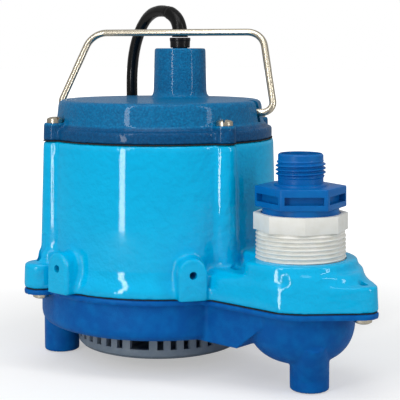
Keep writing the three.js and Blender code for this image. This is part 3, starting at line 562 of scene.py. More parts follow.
housing_parts.append(prism("vent_shelf", [(55, -34), (95, -34), (95, 0), (55, 0)], 50, 61.3,
                           [(55, -27), (92, -32), (92, 0), (55, 0)]))
for angle in PAD_ANGLES:
    housing_parts.append(arched_pad("pad", angle, PAD_REACH))
housing = cast("housing_casting", housing_parts, voxel=1.15, rounds=7)
print("raw casting", triangles(housing), "triangles")

# %% Bore and drill the housing
EAR_HOLE_R, PAD_HOLE_R = 2.6, 2.1
tools = [
    disc("chamber", 61.5, 57, HOUSING_TOP + 2, 96),
    disc("shaft_hole", 5.2, 40, 60, 32),
    disc("bearing_pocket", 11.3, 49.4, 60, 48),
    disc("seal_pocket", 9.3, 40, 49.0, 48),
    disc("outlet", 20.5, 40, 75, 64, DISCHARGE_X),
    disc("outlet_thread", 24.4, 58.2, 75, 64, DISCHARGE_X),
]
for angle in SCREW_ANGLES:
    tools.append(disc("cover_screw_hole", 2.5, HOUSING_TOP - 16, HOUSING_TOP + 2, 20, *polar(RIB_R, angle)))
for x, y in [polar(EAR_R, angle) for angle in EAR_ANGLES] + [(TIP_X, 0), VENT_PLACE]:
    tools.append(disc("base_screw_hole", EAR_HOLE_R, 40, 75, 24, x, y))
tools.append(disc("vent_face", 3.8, 61, 66, 48, *VENT_PLACE))
for angle in PAD_ANGLES:
    tools.append(lying_rod("pad_hole", PAD_HOLE_R, PAD_REACH - 15, PAD_REACH + 2, PAD_Z, angle))
cut(housing, *tools)
polish(housing, 50)
settle(housing, "pump", "cyan_enamel", CYAN, "motor_housing")

# %% [markdown]
# ## The cover
# A shallow blue cap: a flange with four screw bosses, a step, a tapering wall, and the cord tower that
# grows out of the top with a wide fillet. It is cast like the housing. The two notches for the bail and
# the spot-faced seats under the screw heads are cut after the melt, so that their edges stay clean.

# %% Cast the cover
COVER_FOOT, COVER_TOP, BOSS_TOP = 128.05, 150.0, 137.7
TOWER = polar(29.16, 108.8)
BAIL_ANGLE, PIVOT_Z = 22.4, 143.2
cap = turned("cap", [
    (0, COVER_FOOT), (66.5, COVER_FOOT), (66.5, 134.2), (64.4, 134.5), (63.3, 134.9), (63.1, 136.0),
    (61.6, 136.6), (60.9, 142.0), (60.4, 147.2), (59.6, 149.1), (57.9, COVER_TOP), (0, COVER_TOP),
], 128)
tower = turned("tower", [
    (0, COVER_FOOT + 6), (19, COVER_FOOT + 6), (19.2, COVER_TOP - 1), (19.4, COVER_TOP), (17.6, 150.9),
    (16.8, 152.2), (16.4, 154.2), (15.8, 179.6), (15.2, 180.4), (0, 180.4),
], 64, *TOWER)
cover_parts = [cap, tower]
for angle in SCREW_ANGLES:
    cover_parts.append(disc("boss", 6.5, COVER_FOOT, BOSS_TOP, 32, *polar(RIB_R, angle), 6.3))
cover = cast("cover_casting", cover_parts, voxel=0.85, rounds=3)

# %% Bore and notch the cover
tools = [
    disc("cover_hollow", 56, COVER_FOOT - 2, 134, 96),
    disc("bearing_pocket", 11.3, 126, 139.9, 48),
    disc("tower_bore", 10, 126, 171, 48, *TOWER),
    disc("tower_neck", 5, 165, 185, 32, *TOWER),
]
for side in (0, 180):
    angle = BAIL_ANGLE + side
    x, y = polar(61.3, angle)
    tools.append(box("notch", (12, 5, 16), (x, y, 145.5), angle))
    tools.append(lying_rod("pivot_hole", 2.45, 48.4, 62, PIVOT_Z, angle))
for angle in SCREW_ANGLES:
    tools.append(disc("screw_hole", 2.5, 120, 145, 20, *polar(RIB_R, angle)))
    tools.append(disc("head_seat", 5.25, BOSS_TOP, 160, 40, *polar(RIB_R, angle)))
cut(cover, *tools)
polish(cover, 50)
settle(cover, "pump", "blue_enamel", COVER_BLUE, "housing_cover")

# %% [markdown]
# ## The volute base
# The volute is moulded plastic: a bowl under the motor, a flat-sided throat, a half-round discharge bowl
# and three hollow-looking round feet. It needs sharper outside edges than the castings, so the remesh is
# fine and the smoothing short. The chamber, the eye and the passage are cut out afterwards.

# %% Mould the volute
VOLUTE_FLOOR, LIP_Z = 22.0, 42.4
BOWL_Z, BOWL_R, BOWL_DEPTH, BOWL_POWER = 38.5, 29.2, 25.8, 2 / 2.45
FEET = ((-47.5, 35.7), (-47.5, -35.7))
FRONT_FOOT = (112.0, -3.0)
THROAT_HALF, THROAT_BEND, THROAT_END, THROAT_LOW, THROAT_HIGH = 30.0, 84.0, 101.5, 21.6, 35.2


def bowl(name, inset, high):
    """The discharge bowl, a little squarer than a ball."""
    radius, depth = BOWL_R - inset, BOWL_DEPTH - inset
    profile = [(0, BOWL_Z - depth)]
    for step in range(1, 24):
        angle = math.radians(90 * step / 24)
        out, down = math.sin(angle) ** BOWL_POWER, math.cos(angle) ** BOWL_POWER
        profile.append((radius * out, BOWL_Z - depth * down))
    return turned(name, profile + [(radius, BOWL_Z), (radius, high), (0, high)], 96, DISCHARGE_X)


def throat(name, inset, top):
    """Side view of the throat, pulled across."""
    side = [(50, THROAT_LOW + inset), (THROAT_BEND, THROAT_LOW + inset), (THROAT_END, THROAT_HIGH + inset),
            (THROAT_END, top), (50, top)]
    piece = prism(name, side, 0, 2 * (THROAT_HALF - inset))
    piece.data.transform(Matrix.Translation(-at(0, 0, 0)))
    stand = Matrix(((1, 0, 0, 0), (0, 0, -1, 0), (0, 1, 0, 0), (0, 0, 0, 1)))
    across = Matrix.Translation(at(0, THROAT_HALF - inset, 0))
    piece.data.transform(across @ stand)
    return piece


def ears(radius, low, high):
    return [disc("ear", radius, low, high, 32, *polar(EAR_R, angle)) for angle in EAR_ANGLES]


wall = turned("wall", [
    (0, VOLUTE_FLOOR), (65.0, VOLUTE_FLOOR), (67.4, 22.8), (69.2, 24.8), (69.8, 27.5), (69.8, 41.5),
    (70.4, LIP_Z), (72.5, LIP_Z), (72.5, PARTING_LOW), (0, PARTING_LOW),
], 128)
volute_parts = [wall, throat("throat", 0, PARTING_LOW), bowl("bowl", 0, PARTING_LOW)]
volute_parts.append(prism("flange", discharge_outline(36.5, 35.0, 8.0), LIP_Z, PARTING_LOW))
volute_parts += ears(9.5, LIP_Z, PARTING_LOW)
for x, y in FEET:
    volute_parts.append(turned("foot", [(0, 0.1), (9.8, 0.1), (10.3, 0.7), (10.6, 24), (0, 24)], 48, x, y))
dome = [(10.6 * math.cos(math.radians(a)), 26 + 10.6 * math.sin(math.radians(a))) for a in (20, 40, 60, 75)]
volute_parts.append(turned("front_foot", [(0, 0.1), (9.9, 0.1), (10.4, 0.7), (10.6, 26)] + dome + [(0, 36.6)],
                           48, *FRONT_FOOT))
RIDGE_LINE = ((112, -3, 8), (114, -5.3, 14), (116.3, -7.9, 20), (118.5, -10.4, 25), (120.4, -12.5, 29.5))
RIDGE_RADII = (10.3, 10.1, 9.9, 9.7, 9.3)
volute_parts.append(tube("foot_ridge", [at(*p) for p in RIDGE_LINE], RIDGE_RADII, 40))
volute = cast("volute_moulding", volute_parts, voxel=0.8, rounds=1)
tools = [
    disc("chamber", 63, 25.5, 50, 96),
    disc("eye", 19, 15, 30, 64),
    throat("passage", 6, 50),
    bowl("bowl_hollow", 5, 50),
]
tools += [disc("hole", EAR_HOLE_R, 38, 50, 24, *polar(EAR_R, angle)) for angle in EAR_ANGLES]
tools.append(disc("hole", EAR_HOLE_R, 38, 50, 24, TIP_X, 0))
cut(volute, *tools)
polish(volute, 40)
settle(volute, "pump", "blue_plastic", VOLUTE_BLUE, "volute")

# %% [markdown]
# ## Patterns that repeat: Geometry Nodes
# The strainer's bars, the screws and the threads follow a rule, so a small node tree makes each of them.
# `Tree` is a thin wrapper that keeps the building short: `add` makes a node, links or sets its inputs and
# returns it. `grow` puts a finished tree on an object, sets its named inputs by their identifiers, and
# turns the result into a plain mesh, since only real faces leave Blender well.


# %% Geometry Nodes helpers
class Tree:
    def __init__(self, name, inputs):
        self.group = bpy.data.node_groups.new(name, "GeometryNodeTree")
        face = self.group.interface
        face.new_socket("Geometry", in_out="OUTPUT", socket_type="NodeSocketGeometry")
        face.new_socket("Geometry", in_out="INPUT", socket_type="NodeSocketGeometry")
        for label, default in inputs.items():
            kind = "NodeSocketInt" if isinstance(default, int) else "NodeSocketFloat"
            socket = face.new_socket(label, in_out="INPUT", socket_type=kind)
            socket.default_value = default
        face.new_socket("Material", in_out="INPUT", socket_type="NodeSocketMaterial")
        self.start = self.group.nodes.new("NodeGroupInput")
        self.end = self.group.nodes.new("NodeGroupOutput")

    def add(self, kind, links=None, **settings):
        node = self.group.nodes.new(kind)
        for key, value in settings.items():
            setattr(node, key, value)
        for key, value in (links or {}).items():
            self.feed(node.inputs[key], value)
        return node

    def feed(self, socket, value):
        if isinstance(value, bpy.types.NodeSocket):
            self.group.links.new(value, socket)
        else:
            socket.default_value = value

    def given(self, label):
        return self.start.outputs[label]

    def math(self, operation, first, second=0.0):
        node = self.add("ShaderNodeMath", operation=operation)
        self.feed(node.inputs[0], first)
        self.feed(node.inputs[1], second)
        return node.outputs[0]

    def plus(self, first, second):
        return self.math("ADD", first, second)

    def minus(self, first, second):
        return self.math("SUBTRACT", first, second)

    def times(self, first, second):
        return self.math("MULTIPLY", first, second)

    def over(self, first, second):
        return self.math("DIVIDE", first, second)

    def clamp(self, value):
        return self.add("ShaderNodeClamp", {"Value": value}).outputs[0]

    def vector(self, x=0.0, y=0.0, z=0.0):
        return self.add("ShaderNodeCombineXYZ", {"X": x, "Y": y, "Z": z}).outputs[0]

    def finish(self, geometry):
        real = self.add("GeometryNodeRealizeInstances", {"Geometry": geometry})
        painted = self.add("GeometryNodeSetMaterial",
                           {"Geometry": real.outputs[0], "Material": self.given("Material")})
        self.feed(self.end.inputs["Geometry"], painted.outputs[0])
        return self


def grow(name, tree, material, seeds=None, **values):
    """Runs a tree on a small seed mesh and returns the result as a plain object."""
    piece = link_mesh(name, seeds or [(0, 0, 0)], [])
    modifier = piece.modifiers.new("tree", "NODES")
    modifier.node_group = tree.group
    for item in tree.group.interface.items_tree:
        label = item.name.replace(" ", "_")
        if item.in_out == "INPUT" and label in values:
            modifier[item.identifier] = values[label]
        if item.in_out == "INPUT" and item.name == "Material":
            modifier[item.identifier] = material
    return apply_modifiers(piece)


# %% [markdown]
# ## The inlet strainer
# A grey moulded cup with slots all round, that keeps stones out of the impeller. Cutting every slot would
# work, but it is quicker to set bars round a circle: one bar is instanced at every point of a ring. Each
# quarter holds nine bars; its two end bars are wider, and the gap to the next quarter is the wide slot.

# %% Bars round a circle
STRAINER_R, WIDE_ANGLE, BARS_PER_QUARTER = 48.5, -60.2, 9
bars = Tree("strainer_bars", {
    "Radius": 0.047, "Bar Width": 0.0039, "End Bar Width": 0.0046, "End Push": 0.007, "Bar Depth": 0.003,
    "Low": 0.0125, "High": 0.0205, "Per Quarter": 9, "Step": 0.1546, "Start Angle": 0.0,
})
count = bars.times(bars.given("Per Quarter"), 4)
ring_points = bars.add("GeometryNodeMeshCircle", {"Vertices": count, "Radius": 1.0})
spot = bars.add("GeometryNodeInputIndex").outputs[0]
quarter = bars.math("FLOOR", bars.over(spot, bars.given("Per Quarter")))
half_count = bars.times(bars.minus(bars.given("Per Quarter"), 1), 0.5)
from_middle = bars.minus(bars.math("MODULO", spot, bars.given("Per Quarter")), half_count)
last_bar = bars.minus(half_count, 0.5)
is_end = bars.math("GREATER_THAN", bars.math("ABSOLUTE", from_middle), last_bar)
end_side = bars.times(bars.math("SIGN", from_middle), is_end)
push = bars.times(end_side, bars.given("End Push"))
in_quarter = bars.plus(bars.times(from_middle, bars.given("Step")), push)
middle_angle = bars.times(bars.plus(quarter, 0.5), math.pi / 2)
bar_angle = bars.plus(bars.plus(middle_angle, in_quarter), bars.given("Start Angle"))
widening = bars.over(bars.given("End Bar Width"), bars.given("Bar Width"))
bar_scale = bars.plus(1.0, bars.times(is_end, bars.minus(widening, 1.0)))
height = bars.minus(bars.given("High"), bars.given("Low"))
middle = bars.times(bars.plus(bars.given("High"), bars.given("Low")), 0.5)
place = bars.vector(
    bars.times(bars.math("COSINE", bar_angle), bars.given("Radius")),
    bars.times(bars.math("SINE", bar_angle), bars.given("Radius")), middle)
placed = bars.add("GeometryNodeSetPosition", {"Geometry": ring_points.outputs["Mesh"], "Position": place})
bar_size = bars.vector(bars.given("Bar Depth"), bars.given("Bar Width"), height)
bar = bars.add("GeometryNodeMeshCube", {"Size": bar_size})
turn = bars.add("FunctionNodeAlignRotationToVector", {"Vector": bars.vector(
    bars.math("COSINE", bar_angle), bars.math("SINE", bar_angle), 0.0)}, axis="X")
stood = bars.add("GeometryNodeInstanceOnPoints", {
    "Points": placed.outputs[0], "Instance": bar.outputs["Mesh"], "Rotation": turn.outputs[0],
    "Scale": bars.vector(1.0, bar_scale, 1.0)})
bars.finish(stood.outputs[0])
bar_ring = grow("bars", bars, STRAINER_GREY, Start_Angle=math.radians(WIDE_ANGLE),
                Per_Quarter=BARS_PER_QUARTER, Radius=(STRAINER_R - 1.55) * MM)
bar_ring.data.transform(Matrix.Translation(at(0, 0, 0)))

# %% The cup and the top ring
cup = turned("cup", [
    (0, 6.8), (44.2, 6.8), (46.6, 7.6), (48.1, 9.2), (48.5, 11.4), (48.5, 12.7), (45.5, 12.7), (45.5, 9.6),
    (0, 9.6),
], 128)
top_ring = turned("top_ring", [(45.5, 19.8), (48.5, 19.8), (48.5, 21.7), (45.5, 21.7)], 128, ring=True)
strainer = polish(join("strainer_basket", [cup, top_ring, bar_ring]), 30)
settle(strainer, "pump", "grey_plastic", STRAINER_GREY, "inlet_strainer")

# %% [markdown]
# ## Screws
# Slotted pan heads: a cylinder whose top is pushed down towards its rim, with a slot cut across. The tree
# makes one screw and instances it on each seed point, turned by a fixed random angle, because nobody lines
# up screw slots by hand.

# %% One tree for every screw
screws = Tree("slotted_screws", {
    "Head Radius": 0.00465, "Head Height": 0.0034, "Dome": 0.0012, "Slot Width": 0.0011,
    "Slot Depth": 0.0015, "Shank Radius": 0.0022, "Shank Length": 0.018, "Seed": 3, "Upside Down": 0.0,
})
head = screws.add("GeometryNodeMeshCylinder", {
    "Vertices": 48, "Side Segments": 4, "Fill Segments": 8, "Radius": screws.given("Head Radius"),
    "Depth": screws.given("Head Height")})
position = screws.add("GeometryNodeInputPosition").outputs[0]
parts = screws.add("ShaderNodeSeparateXYZ", {"Vector": position})
flat = screws.vector(parts.outputs["X"], parts.outputs["Y"], 0.0)
length = screws.add("ShaderNodeVectorMath", {0: flat}, operation="LENGTH").outputs["Value"]
reach = screws.math("POWER", screws.over(length, screws.given("Head Radius")), 3.0)
rise = screws.plus(screws.over(parts.outputs["Z"], screws.given("Head Height")), 0.5)
drop = screws.times(screws.times(reach, rise), screws.times(screws.given("Dome"), -1.0))
domed = screws.add("GeometryNodeSetPosition", {
    "Geometry": head.outputs["Mesh"], "Offset": screws.vector(0.0, 0.0, drop)})
slot_size = screws.vector(0.02, screws.given("Slot Width"), screws.times(screws.given("Slot Depth"), 2.0))
slot_bar = screws.add("GeometryNodeMeshCube", {"Size": slot_size})
half_head = screws.times(screws.given("Head Height"), 0.5)
slot_place = screws.add("GeometryNodeTransform", {
    "Geometry": slot_bar.outputs["Mesh"], "Translation": screws.vector(0.0, 0.0, half_head)})
slotted = screws.add("GeometryNodeMeshBoolean", {"Mesh 1": domed.outputs[0], "Mesh 2": slot_place.outputs[0]},
                     operation="DIFFERENCE")
shank = screws.add("GeometryNodeMeshCylinder", {
    "Vertices": 24, "Radius": screws.given("Shank Radius"), "Depth": screws.given("Shank Length")})
shank_low = screws.times(screws.plus(screws.given("Shank Length"), screws.given("Head Height")), -0.5)
shank_place = screws.add("GeometryNodeTransform", {
    "Geometry": shank.outputs["Mesh"], "Translation": screws.vector(0.0, 0.0, shank_low)})
whole = screws.add("GeometryNodeJoinGeometry")
screws.feed(whole.inputs[0], slotted.outputs[0])
screws.feed(whole.inputs[0], shank_place.outputs[0])
spin = screws.add("FunctionNodeRandomValue", data_type="FLOAT")
screws.feed(spin.inputs[2], 0.0)
screws.feed(spin.inputs[3], math.pi)
screws.feed(spin.inputs["Seed"], screws.given("Seed"))
roll = screws.times(screws.given("Upside Down"), math.pi)
turned_points = screws.add("GeometryNodeInstanceOnPoints", {
    "Instance": whole.outputs[0], "Rotation": screws.vector(roll, 0.0, spin.outputs[1])})
points = screws.add("GeometryNodeMeshToPoints", {"Mesh": screws.given("Geometry")})
screws.feed(turned_points.inputs["Points"], points.outputs[0])
screws.finish(turned_points.outputs[0])

# %% Cover and base screws
HEAD_H = 3.4
top_seeds = [at(*polar(RIB_R, angle), BOSS_TOP + 0.1 + HEAD_H / 2) for angle in SCREW_ANGLES]
cover_screws = grow("cover_screws", screws, STAINLESS, [tuple(s) for s in top_seeds])
settle(polish(cover_screws, 40), "pump", "stainless", STAINLESS, *[f"cover_screw_{n}" for n in (1, 2, 3, 4)])
low_places = [polar(EAR_R, angle) for angle in EAR_ANGLES] + [(TIP_X, 0)]
low_seeds = [at(x, y, LIP_Z - 0.1 - HEAD_H / 2) for x, y in low_places]
base_screws = grow("base_screws", screws, STAINLESS, [tuple(s) for s in low_seeds],
                   Upside_Down=1.0, Shank_Length=0.013, Seed=8)
settle(polish(base_screws, 40), "pump", "stainless", STAINLESS, *[f"base_screw_{n}" for n in (1, 2, 3, 4)])

# %% [markdown]
# ## Threads that really climb
# A pipe thread is a helix, and rings would give it away at the ends. The tree wraps a grid round the axis:
# its columns are angles and its rows climb the outside, then come down the bore. The radius of each point
# follows one rule, a ridge wherever height over pitch minus the turn so far is near a half, and the ridge
# fades in and out over one pitch at each end, as a cut thread does.

# %% The threaded sleeve tree
sleeve = Tree("threaded_sleeve", {
    "Root": 0.02, "Crest": 0.021, "Bore": 0.018, "Foot": 0.0, "Top": 0.02, "Pitch": 0.0022,
    "Thread Low": 0.0, "Thread High": 0.02, "Chamfer": 0.0008, "Columns": 145, "Rows": 150,
})
grid = sleeve.add("GeometryNodeMeshGrid", {
    "Size X": 1.0, "Size Y": 1.0, "Vertices X": sleeve.given("Columns"),
    "Vertices Y": sleeve.plus(sleeve.given("Rows"), 4.0)})
grid_position = sleeve.add("GeometryNodeInputPosition").outputs[0]
grid_place = sleeve.add("ShaderNodeSeparateXYZ", {"Vector": grid_position})
angle_round = sleeve.times(sleeve.plus(grid_place.outputs["X"], 0.5), 2 * math.pi)
row_place = sleeve.times(sleeve.plus(grid_place.outputs["Y"], 0.5), sleeve.plus(sleeve.given("Rows"), 3.0))
row = sleeve.math("ROUND", row_place)
last_row = sleeve.plus(sleeve.given("Rows"), 2.5)
share = sleeve.clamp(sleeve.over(sleeve.minus(row, 1.0), sleeve.given("Rows")))
climb = sleeve.times(share, sleeve.math("LESS_THAN", row, last_row))
tall = sleeve.minus(sleeve.given("Top"), sleeve.given("Foot"))
z = sleeve.plus(sleeve.given("Foot"), sleeve.times(climb, tall))
phase = sleeve.minus(sleeve.over(z, sleeve.given("Pitch")), sleeve.over(angle_round, 2 * math.pi))
wave = sleeve.times(sleeve.math("PINGPONG", phase, 0.5), 2.0)
ridge = sleeve.clamp(sleeve.minus(sleeve.times(wave, 1.7), 0.35))


def fade(distance):
    return sleeve.clamp(sleeve.over(distance, sleeve.given("Pitch")))


fade_in = fade(sleeve.minus(z, sleeve.given("Thread Low")))
fade_out = fade(sleeve.minus(sleeve.given("Thread High"), z))
depth = sleeve.minus(sleeve.given("Crest"), sleeve.given("Root"))
proud = sleeve.times(sleeve.times(ridge, depth), sleeve.times(fade_in, fade_out))
above_foot = sleeve.minus(z, sleeve.given("Foot"))
from_end = sleeve.math("MINIMUM", above_foot, sleeve.minus(sleeve.given("Top"), z))
shaved = sleeve.math("MAXIMUM", sleeve.minus(sleeve.given("Chamfer"), from_end), 0.0)
outer = sleeve.minus(sleeve.plus(sleeve.given("Root"), proud), shaved)
on_outside = sleeve.times(sleeve.math("GREATER_THAN", row, 0.5),
                         sleeve.math("LESS_THAN", row, sleeve.plus(sleeve.given("Rows"), 1.5)))
span = sleeve.minus(outer, sleeve.given("Bore"))
radius = sleeve.plus(sleeve.given("Bore"), sleeve.times(span, on_outside))
wrapped = sleeve.add("GeometryNodeSetPosition", {"Geometry": grid.outputs["Mesh"], "Position": sleeve.vector(
    sleeve.times(sleeve.math("COSINE", angle_round), radius),
    sleeve.times(sleeve.math("SINE", angle_round), radius), z)})
closed = sleeve.add("GeometryNodeMergeByDistance", {"Geometry": wrapped.outputs[0], "Distance": 0.00001})
sleeve.finish(closed.outputs[0])


def threaded(name, material, root, crest, bore, foot, top, pitch, thread, columns=144, rows=150):
    piece = grow(name, sleeve, material, Root=root * MM, Crest=crest * MM, Bore=bore * MM, Foot=foot * MM,
                 Top=top * MM, Pitch=pitch * MM, Thread_Low=thread[0] * MM, Thread_High=thread[1] * MM,
                 Columns=columns + 1, Rows=rows)
    piece.data.transform(Matrix.Translation(at(DISCHARGE_X, 0, 0)))
    return face_out(piece)


def face_out(piece):
    mesh = bmesh.new()
    mesh.from_mesh(piece.data)
    bmesh.ops.recalc_face_normals(mesh, faces=mesh.faces)
    mesh.to_mesh(piece.data)
    mesh.free()
    return piece


# %% [markdown]
# ## The discharge bushing and the hose adapter
# The white bushing screws into the housing: six turns of thread show, under an eight-sided collar. The blue
# adapter screws into it. It has a short neck, a hexagon with a window moulded in each face to save plastic,
# and a hose thread on top. Collar and hexagon are bevelled prisms; only the windows are cut.


# %% The white bushing
def polygon(radius, sides, turn, x=0.0, y=0.0):
    return [(x + dx, y + dy) for dx, dy in (polar(radius, turn + 360 * i / sides) for i in range(sides))]


COLLAR_FOOT, COLLAR_TOP = 83.6, 92.5
bushing_body = threaded("sleeve", WHITE_PVC, 23.0, 24.2, 17.5, 58.5, 84.2, 2.2, (59.0, 83.9))
collar = prism("collar", polygon(25.45, 8, -48.3, DISCHARGE_X), COLLAR_FOOT, COLLAR_TOP)
cut(collar, disc("collar_bore", 21.4, 60, 100, 96, DISCHARGE_X))
rounded(collar, 0.5, 3)
bushing = polish(join("discharge_bushing_piece", [bushing_body, collar]), 40)
settle(bushing, "pump", "white_pvc", WHITE_PVC, "discharge_bushing")

# %% The blue adapter
HEX_FOOT, HEX_TOP, HEX_R, HEX_TURN = 95.5, 106.8, 24.75, -18.3
neck = turned("neck", [(16, 64.4), (21.05, 64.4), (21.05, 92.3), (20.6, 92.8), (20.6, 96.0), (16, 96.0)],
              96, DISCHARGE_X, ring=True)
hexagon = prism("hexagon", polygon(HEX_R, 6, HEX_TURN, DISCHARGE_X), HEX_FOOT, HEX_TOP)
windows = []
for face in range(6):
    x, y = polar(HEX_R * math.cos(math.pi / 6), HEX_TURN + 30 + 60 * face)
    windows.append(box("window", (7.0, 20.6, 4.2), (DISCHARGE_X + x, y, 100.75), HEX_TURN + 30 + 60 * face))
rounded(hexagon, 0.7, 3)
cut(hexagon, disc("hex_bore", 11.0, 60, 130, 64, DISCHARGE_X), *windows)
hose = threaded("hose", ADAPTER_BLUE, 12.2, 13.45, 11.0, 106.0, 124.0, 2.21, (110.9, 120.6), 128, 130)
shoulder = turned("shoulder", [(11, 106.2), (14.6, 106.2), (14.2, 107.6), (12.8, 108.2), (11, 108.2)],
                  96, DISCHARGE_X, ring=True)
adapter = polish(join("hose_adapter_piece", [neck, hexagon, hose, shoulder]), 35)
settle(adapter, "pump", "adapter_plastic", ADAPTER_BLUE, "hose_adapter")

# %% [markdown]
# ## Bars that follow a line
# The bail, the strain relief and anything else that is round and bent is a tube along points. Frames are
# carried from one point to the next without twisting, so that the sides stay straight. Radii may change
# along the way, which is what a tapered boot needs.


# %% A smooth line through points
def smooth_line(points, per_gap=8):
    """A centripetal Catmull-Rom curve through the points, as the CAD draws it."""
    ends = [points[0] * 2 - points[1]] + list(points) + [points[-1] * 2 - points[-2]]
    line = []
    for p0, p1, p2, p3 in zip(ends, ends[1:], ends[2:], ends[3:]):
        t0 = 0.0
        t1 = t0 + math.sqrt((p1 - p0).length)
        t2 = t1 + math.sqrt((p2 - p1).length)
        t3 = t2 + math.sqrt((p3 - p2).length)
        for step in range(per_gap):
            t = t1 + (t2 - t1) * step / per_gap
            a1 = p0 * ((t1 - t) / (t1 - t0)) + p1 * ((t - t0) / (t1 - t0))
            a2 = p1 * ((t2 - t) / (t2 - t1)) + p2 * ((t - t1) / (t2 - t1))
            a3 = p2 * ((t3 - t) / (t3 - t2)) + p3 * ((t - t2) / (t3 - t2))
            b1 = a1 * ((t2 - t) / (t2 - t0)) + a2 * ((t - t0) / (t2 - t0))
            b2 = a2 * ((t3 - t) / (t3 - t1)) + a3 * ((t - t1) / (t3 - t1))
            line.append(b1 * ((t2 - t) / (t2 - t1)) + b2 * ((t - t1) / (t2 - t1)))
    return line + [points[-1]]


# %% [markdown]
# ## The bail
# One stainless wire: its ends turn inwards into holes in the cover's wall, its legs lean together, and two
# round bends lead into the straight grip. It is drawn flat, as a wire bender's drawing is, from straight
# runs and true arcs, then leaned back until it rests against the strain relief.

# %% Bend the wire
WIRE_R, BAIL_H, BAIL_LEAN = 2.1, 51.5, 24.55
FOOT_S, FOOT_BEND, SHOULDER_S, SHOULDER_H, TOP_BEND, SHIFT = 67.5, 5.5, 58.6, 39.0, 12.5, 1.5
leg_lean = math.degrees(math.atan2(FOOT_S - SHOULDER_S, SHOULDER_H - FOOT_BEND))
half = [(51.0, 0.0), (56.0, 0.0)] + arc(FOOT_BEND, -90, leg_lean, 10, FOOT_S - FOOT_BEND, FOOT_BEND)
half += arc(TOP_BEND, leg_lean, 90, 12, SHOULDER_S - TOP_BEND, BAIL_H - TOP_BEND)
half += [(30.0, BAIL_H), (15.0, BAIL_H)]
flat_line = half + [(0.0, BAIL_H)] + [(-s, h) for s, h in reversed(half)]
across = polar(1, BAIL_ANGLE)
back = polar(math.sin(math.radians(BAIL_LEAN)), BAIL_ANGLE + 90)
up = math.cos(math.radians(BAIL_LEAN))
wire_points = []
for s, h in flat_line:
    along = s + SHIFT
    wire_points.append(at(across[0] * along + back[0] * h, across[1] * along + back[1] * h, PIVOT_Z + up * h))
bail = polish(tube("lift_bail", wire_points, [WIRE_R] * len(wire_points), 28), 60)
settle(bail, "handle", "stainless", STAINLESS, "lift_handle")

# %% [markdown]
# ## The supply cord
# A three-core cord leaves the tower through a gland nut and a rubber boot, bends over and falls behind the
# pump. Its spare length, as on every new pump, lies in a neat coil on the floor. The free stretch is a list
# of given points, the same as the frame's. The coil is a rule: three flat spirals on top of each
# other, each a cord's width apart, wound out, in and out again.

# %% The route
CORD_D = 7.3
CORD_ROUTE = (
    (-9.4, 27.6, 187.3), (-9.4, 27.6, 189.3), (-10.6, 28.0, 194.3), (-14.2, 29.1, 199.0),
    (-19.8, 30.1, 202.4), (-26.6, 31.1, 204.0), (-34.3, 32.1, 203.8), (-41.7, 33.5, 201.4),
    (-48.6, 35.0, 196.4), (-54.8, 36.5, 188.6), (-59.3, 37.5, 179.0), (-61.8, 38.1, 168.0),
    (-62.8, 38.6, 155.0), (-62.9, 39.3, 140.0), (-62.6, 40.2, 124.0), (-62.0, 41.6, 107.0),
    (-61.0, 44.0, 90.0), (-59.5, 47.8, 72.0), (-57.6, 53.2, 56.0), (-55.9, 60.2, 43.0),
    (-54.6, 69.0, 33.4), (-54.4, 79.0, 28.0), (-56.0, 89.5, 26.3), (-59.2, 98.8, 26.2),
    (-64.4, 107.0, 26.2),
)
CORD_TAIL = (
    (-58.1, 53.4, 3.8), (-50.7, 60.0, 3.8), (-43.2, 66.7, 3.8), (-35.7, 73.3, 3.8), (-27.1, 81.3, 4.4),
    (-18.2, 89.4, 8.2), (-10.7, 96.1, 12.2), (-4.8, 101.4, 12.7),
)
COIL_X, COIL_Y, COIL_R = -93.0, 92.5, 40.95
LAYERS, LAYER_TURN, DROP_TURN = 3, 1123.9, 45.0
COIL_START, POINTS_PER_TURN = 90.0, 18


def coil_points():
    """Spirals out, in and out again, each layer a cord's width below the last."""
    points = []
    spread = LAYER_TURN / 360 * CORD_D / 2
    angle, z = COIL_START, 0.2 + CORD_D * (LAYERS - 0.5)
    step = 360 / POINTS_PER_TURN
    for layer in range(LAYERS):
        steps = round(LAYER_TURN / step)
        for i in range(steps + 1):
            share = i / steps
            outwards = share if layer % 2 == 0 else 1 - share
            radius = COIL_R - spread + 2 * spread * outwards
            points.append((radius, angle + LAYER_TURN * share, z))
        angle += LAYER_TURN + DROP_TURN
        z -= CORD_D
    places = []
    for radius, turn_so_far, height in points:
        x, y = polar(radius, turn_so_far)
        places.append((COIL_X + x, COIL_Y + y, height))
    return places


lead_in = [(-72.0, 113.6, 24.6), (-81.0, 119.0, 21.4)]
coil = coil_points()
cord_points = list(CORD_ROUTE) + lead_in + coil + list(CORD_TAIL[1:])
print("cord points:", len(cord_points), "coil ends at", [round(c, 1) for c in coil[-1]])

# %% Boot, cord and gland
BOOT_LENGTH = 24.0
route_line = smooth_line([at(*p) for p in CORD_ROUTE], 10)


def cut_line(line, start, end):
    """The part of a line between two distances along it, in millimetres."""
    kept, gone = [], 0.0
    for a, b in zip(line, line[1:]):
        if start <= gone <= end:
            kept.append(a)
        gone += (b - a).length / MM
    return kept


boot_line = cut_line(route_line, 0, BOOT_LENGTH)
boot_radii = []
for i in range(len(boot_line)):
    share = i / (len(boot_line) - 1)
    boot_radii.append(4.75 - 0.55 * share - (0.35 if share > 0.93 else 0.0) + (0.25 if share < 0.08 else 0.0))
boot = polish(tube("strain_relief_boot", boot_line, boot_radii, 32), 60)
settle(boot, "pump", "black_rubber", RUBBER, "strain_relief")

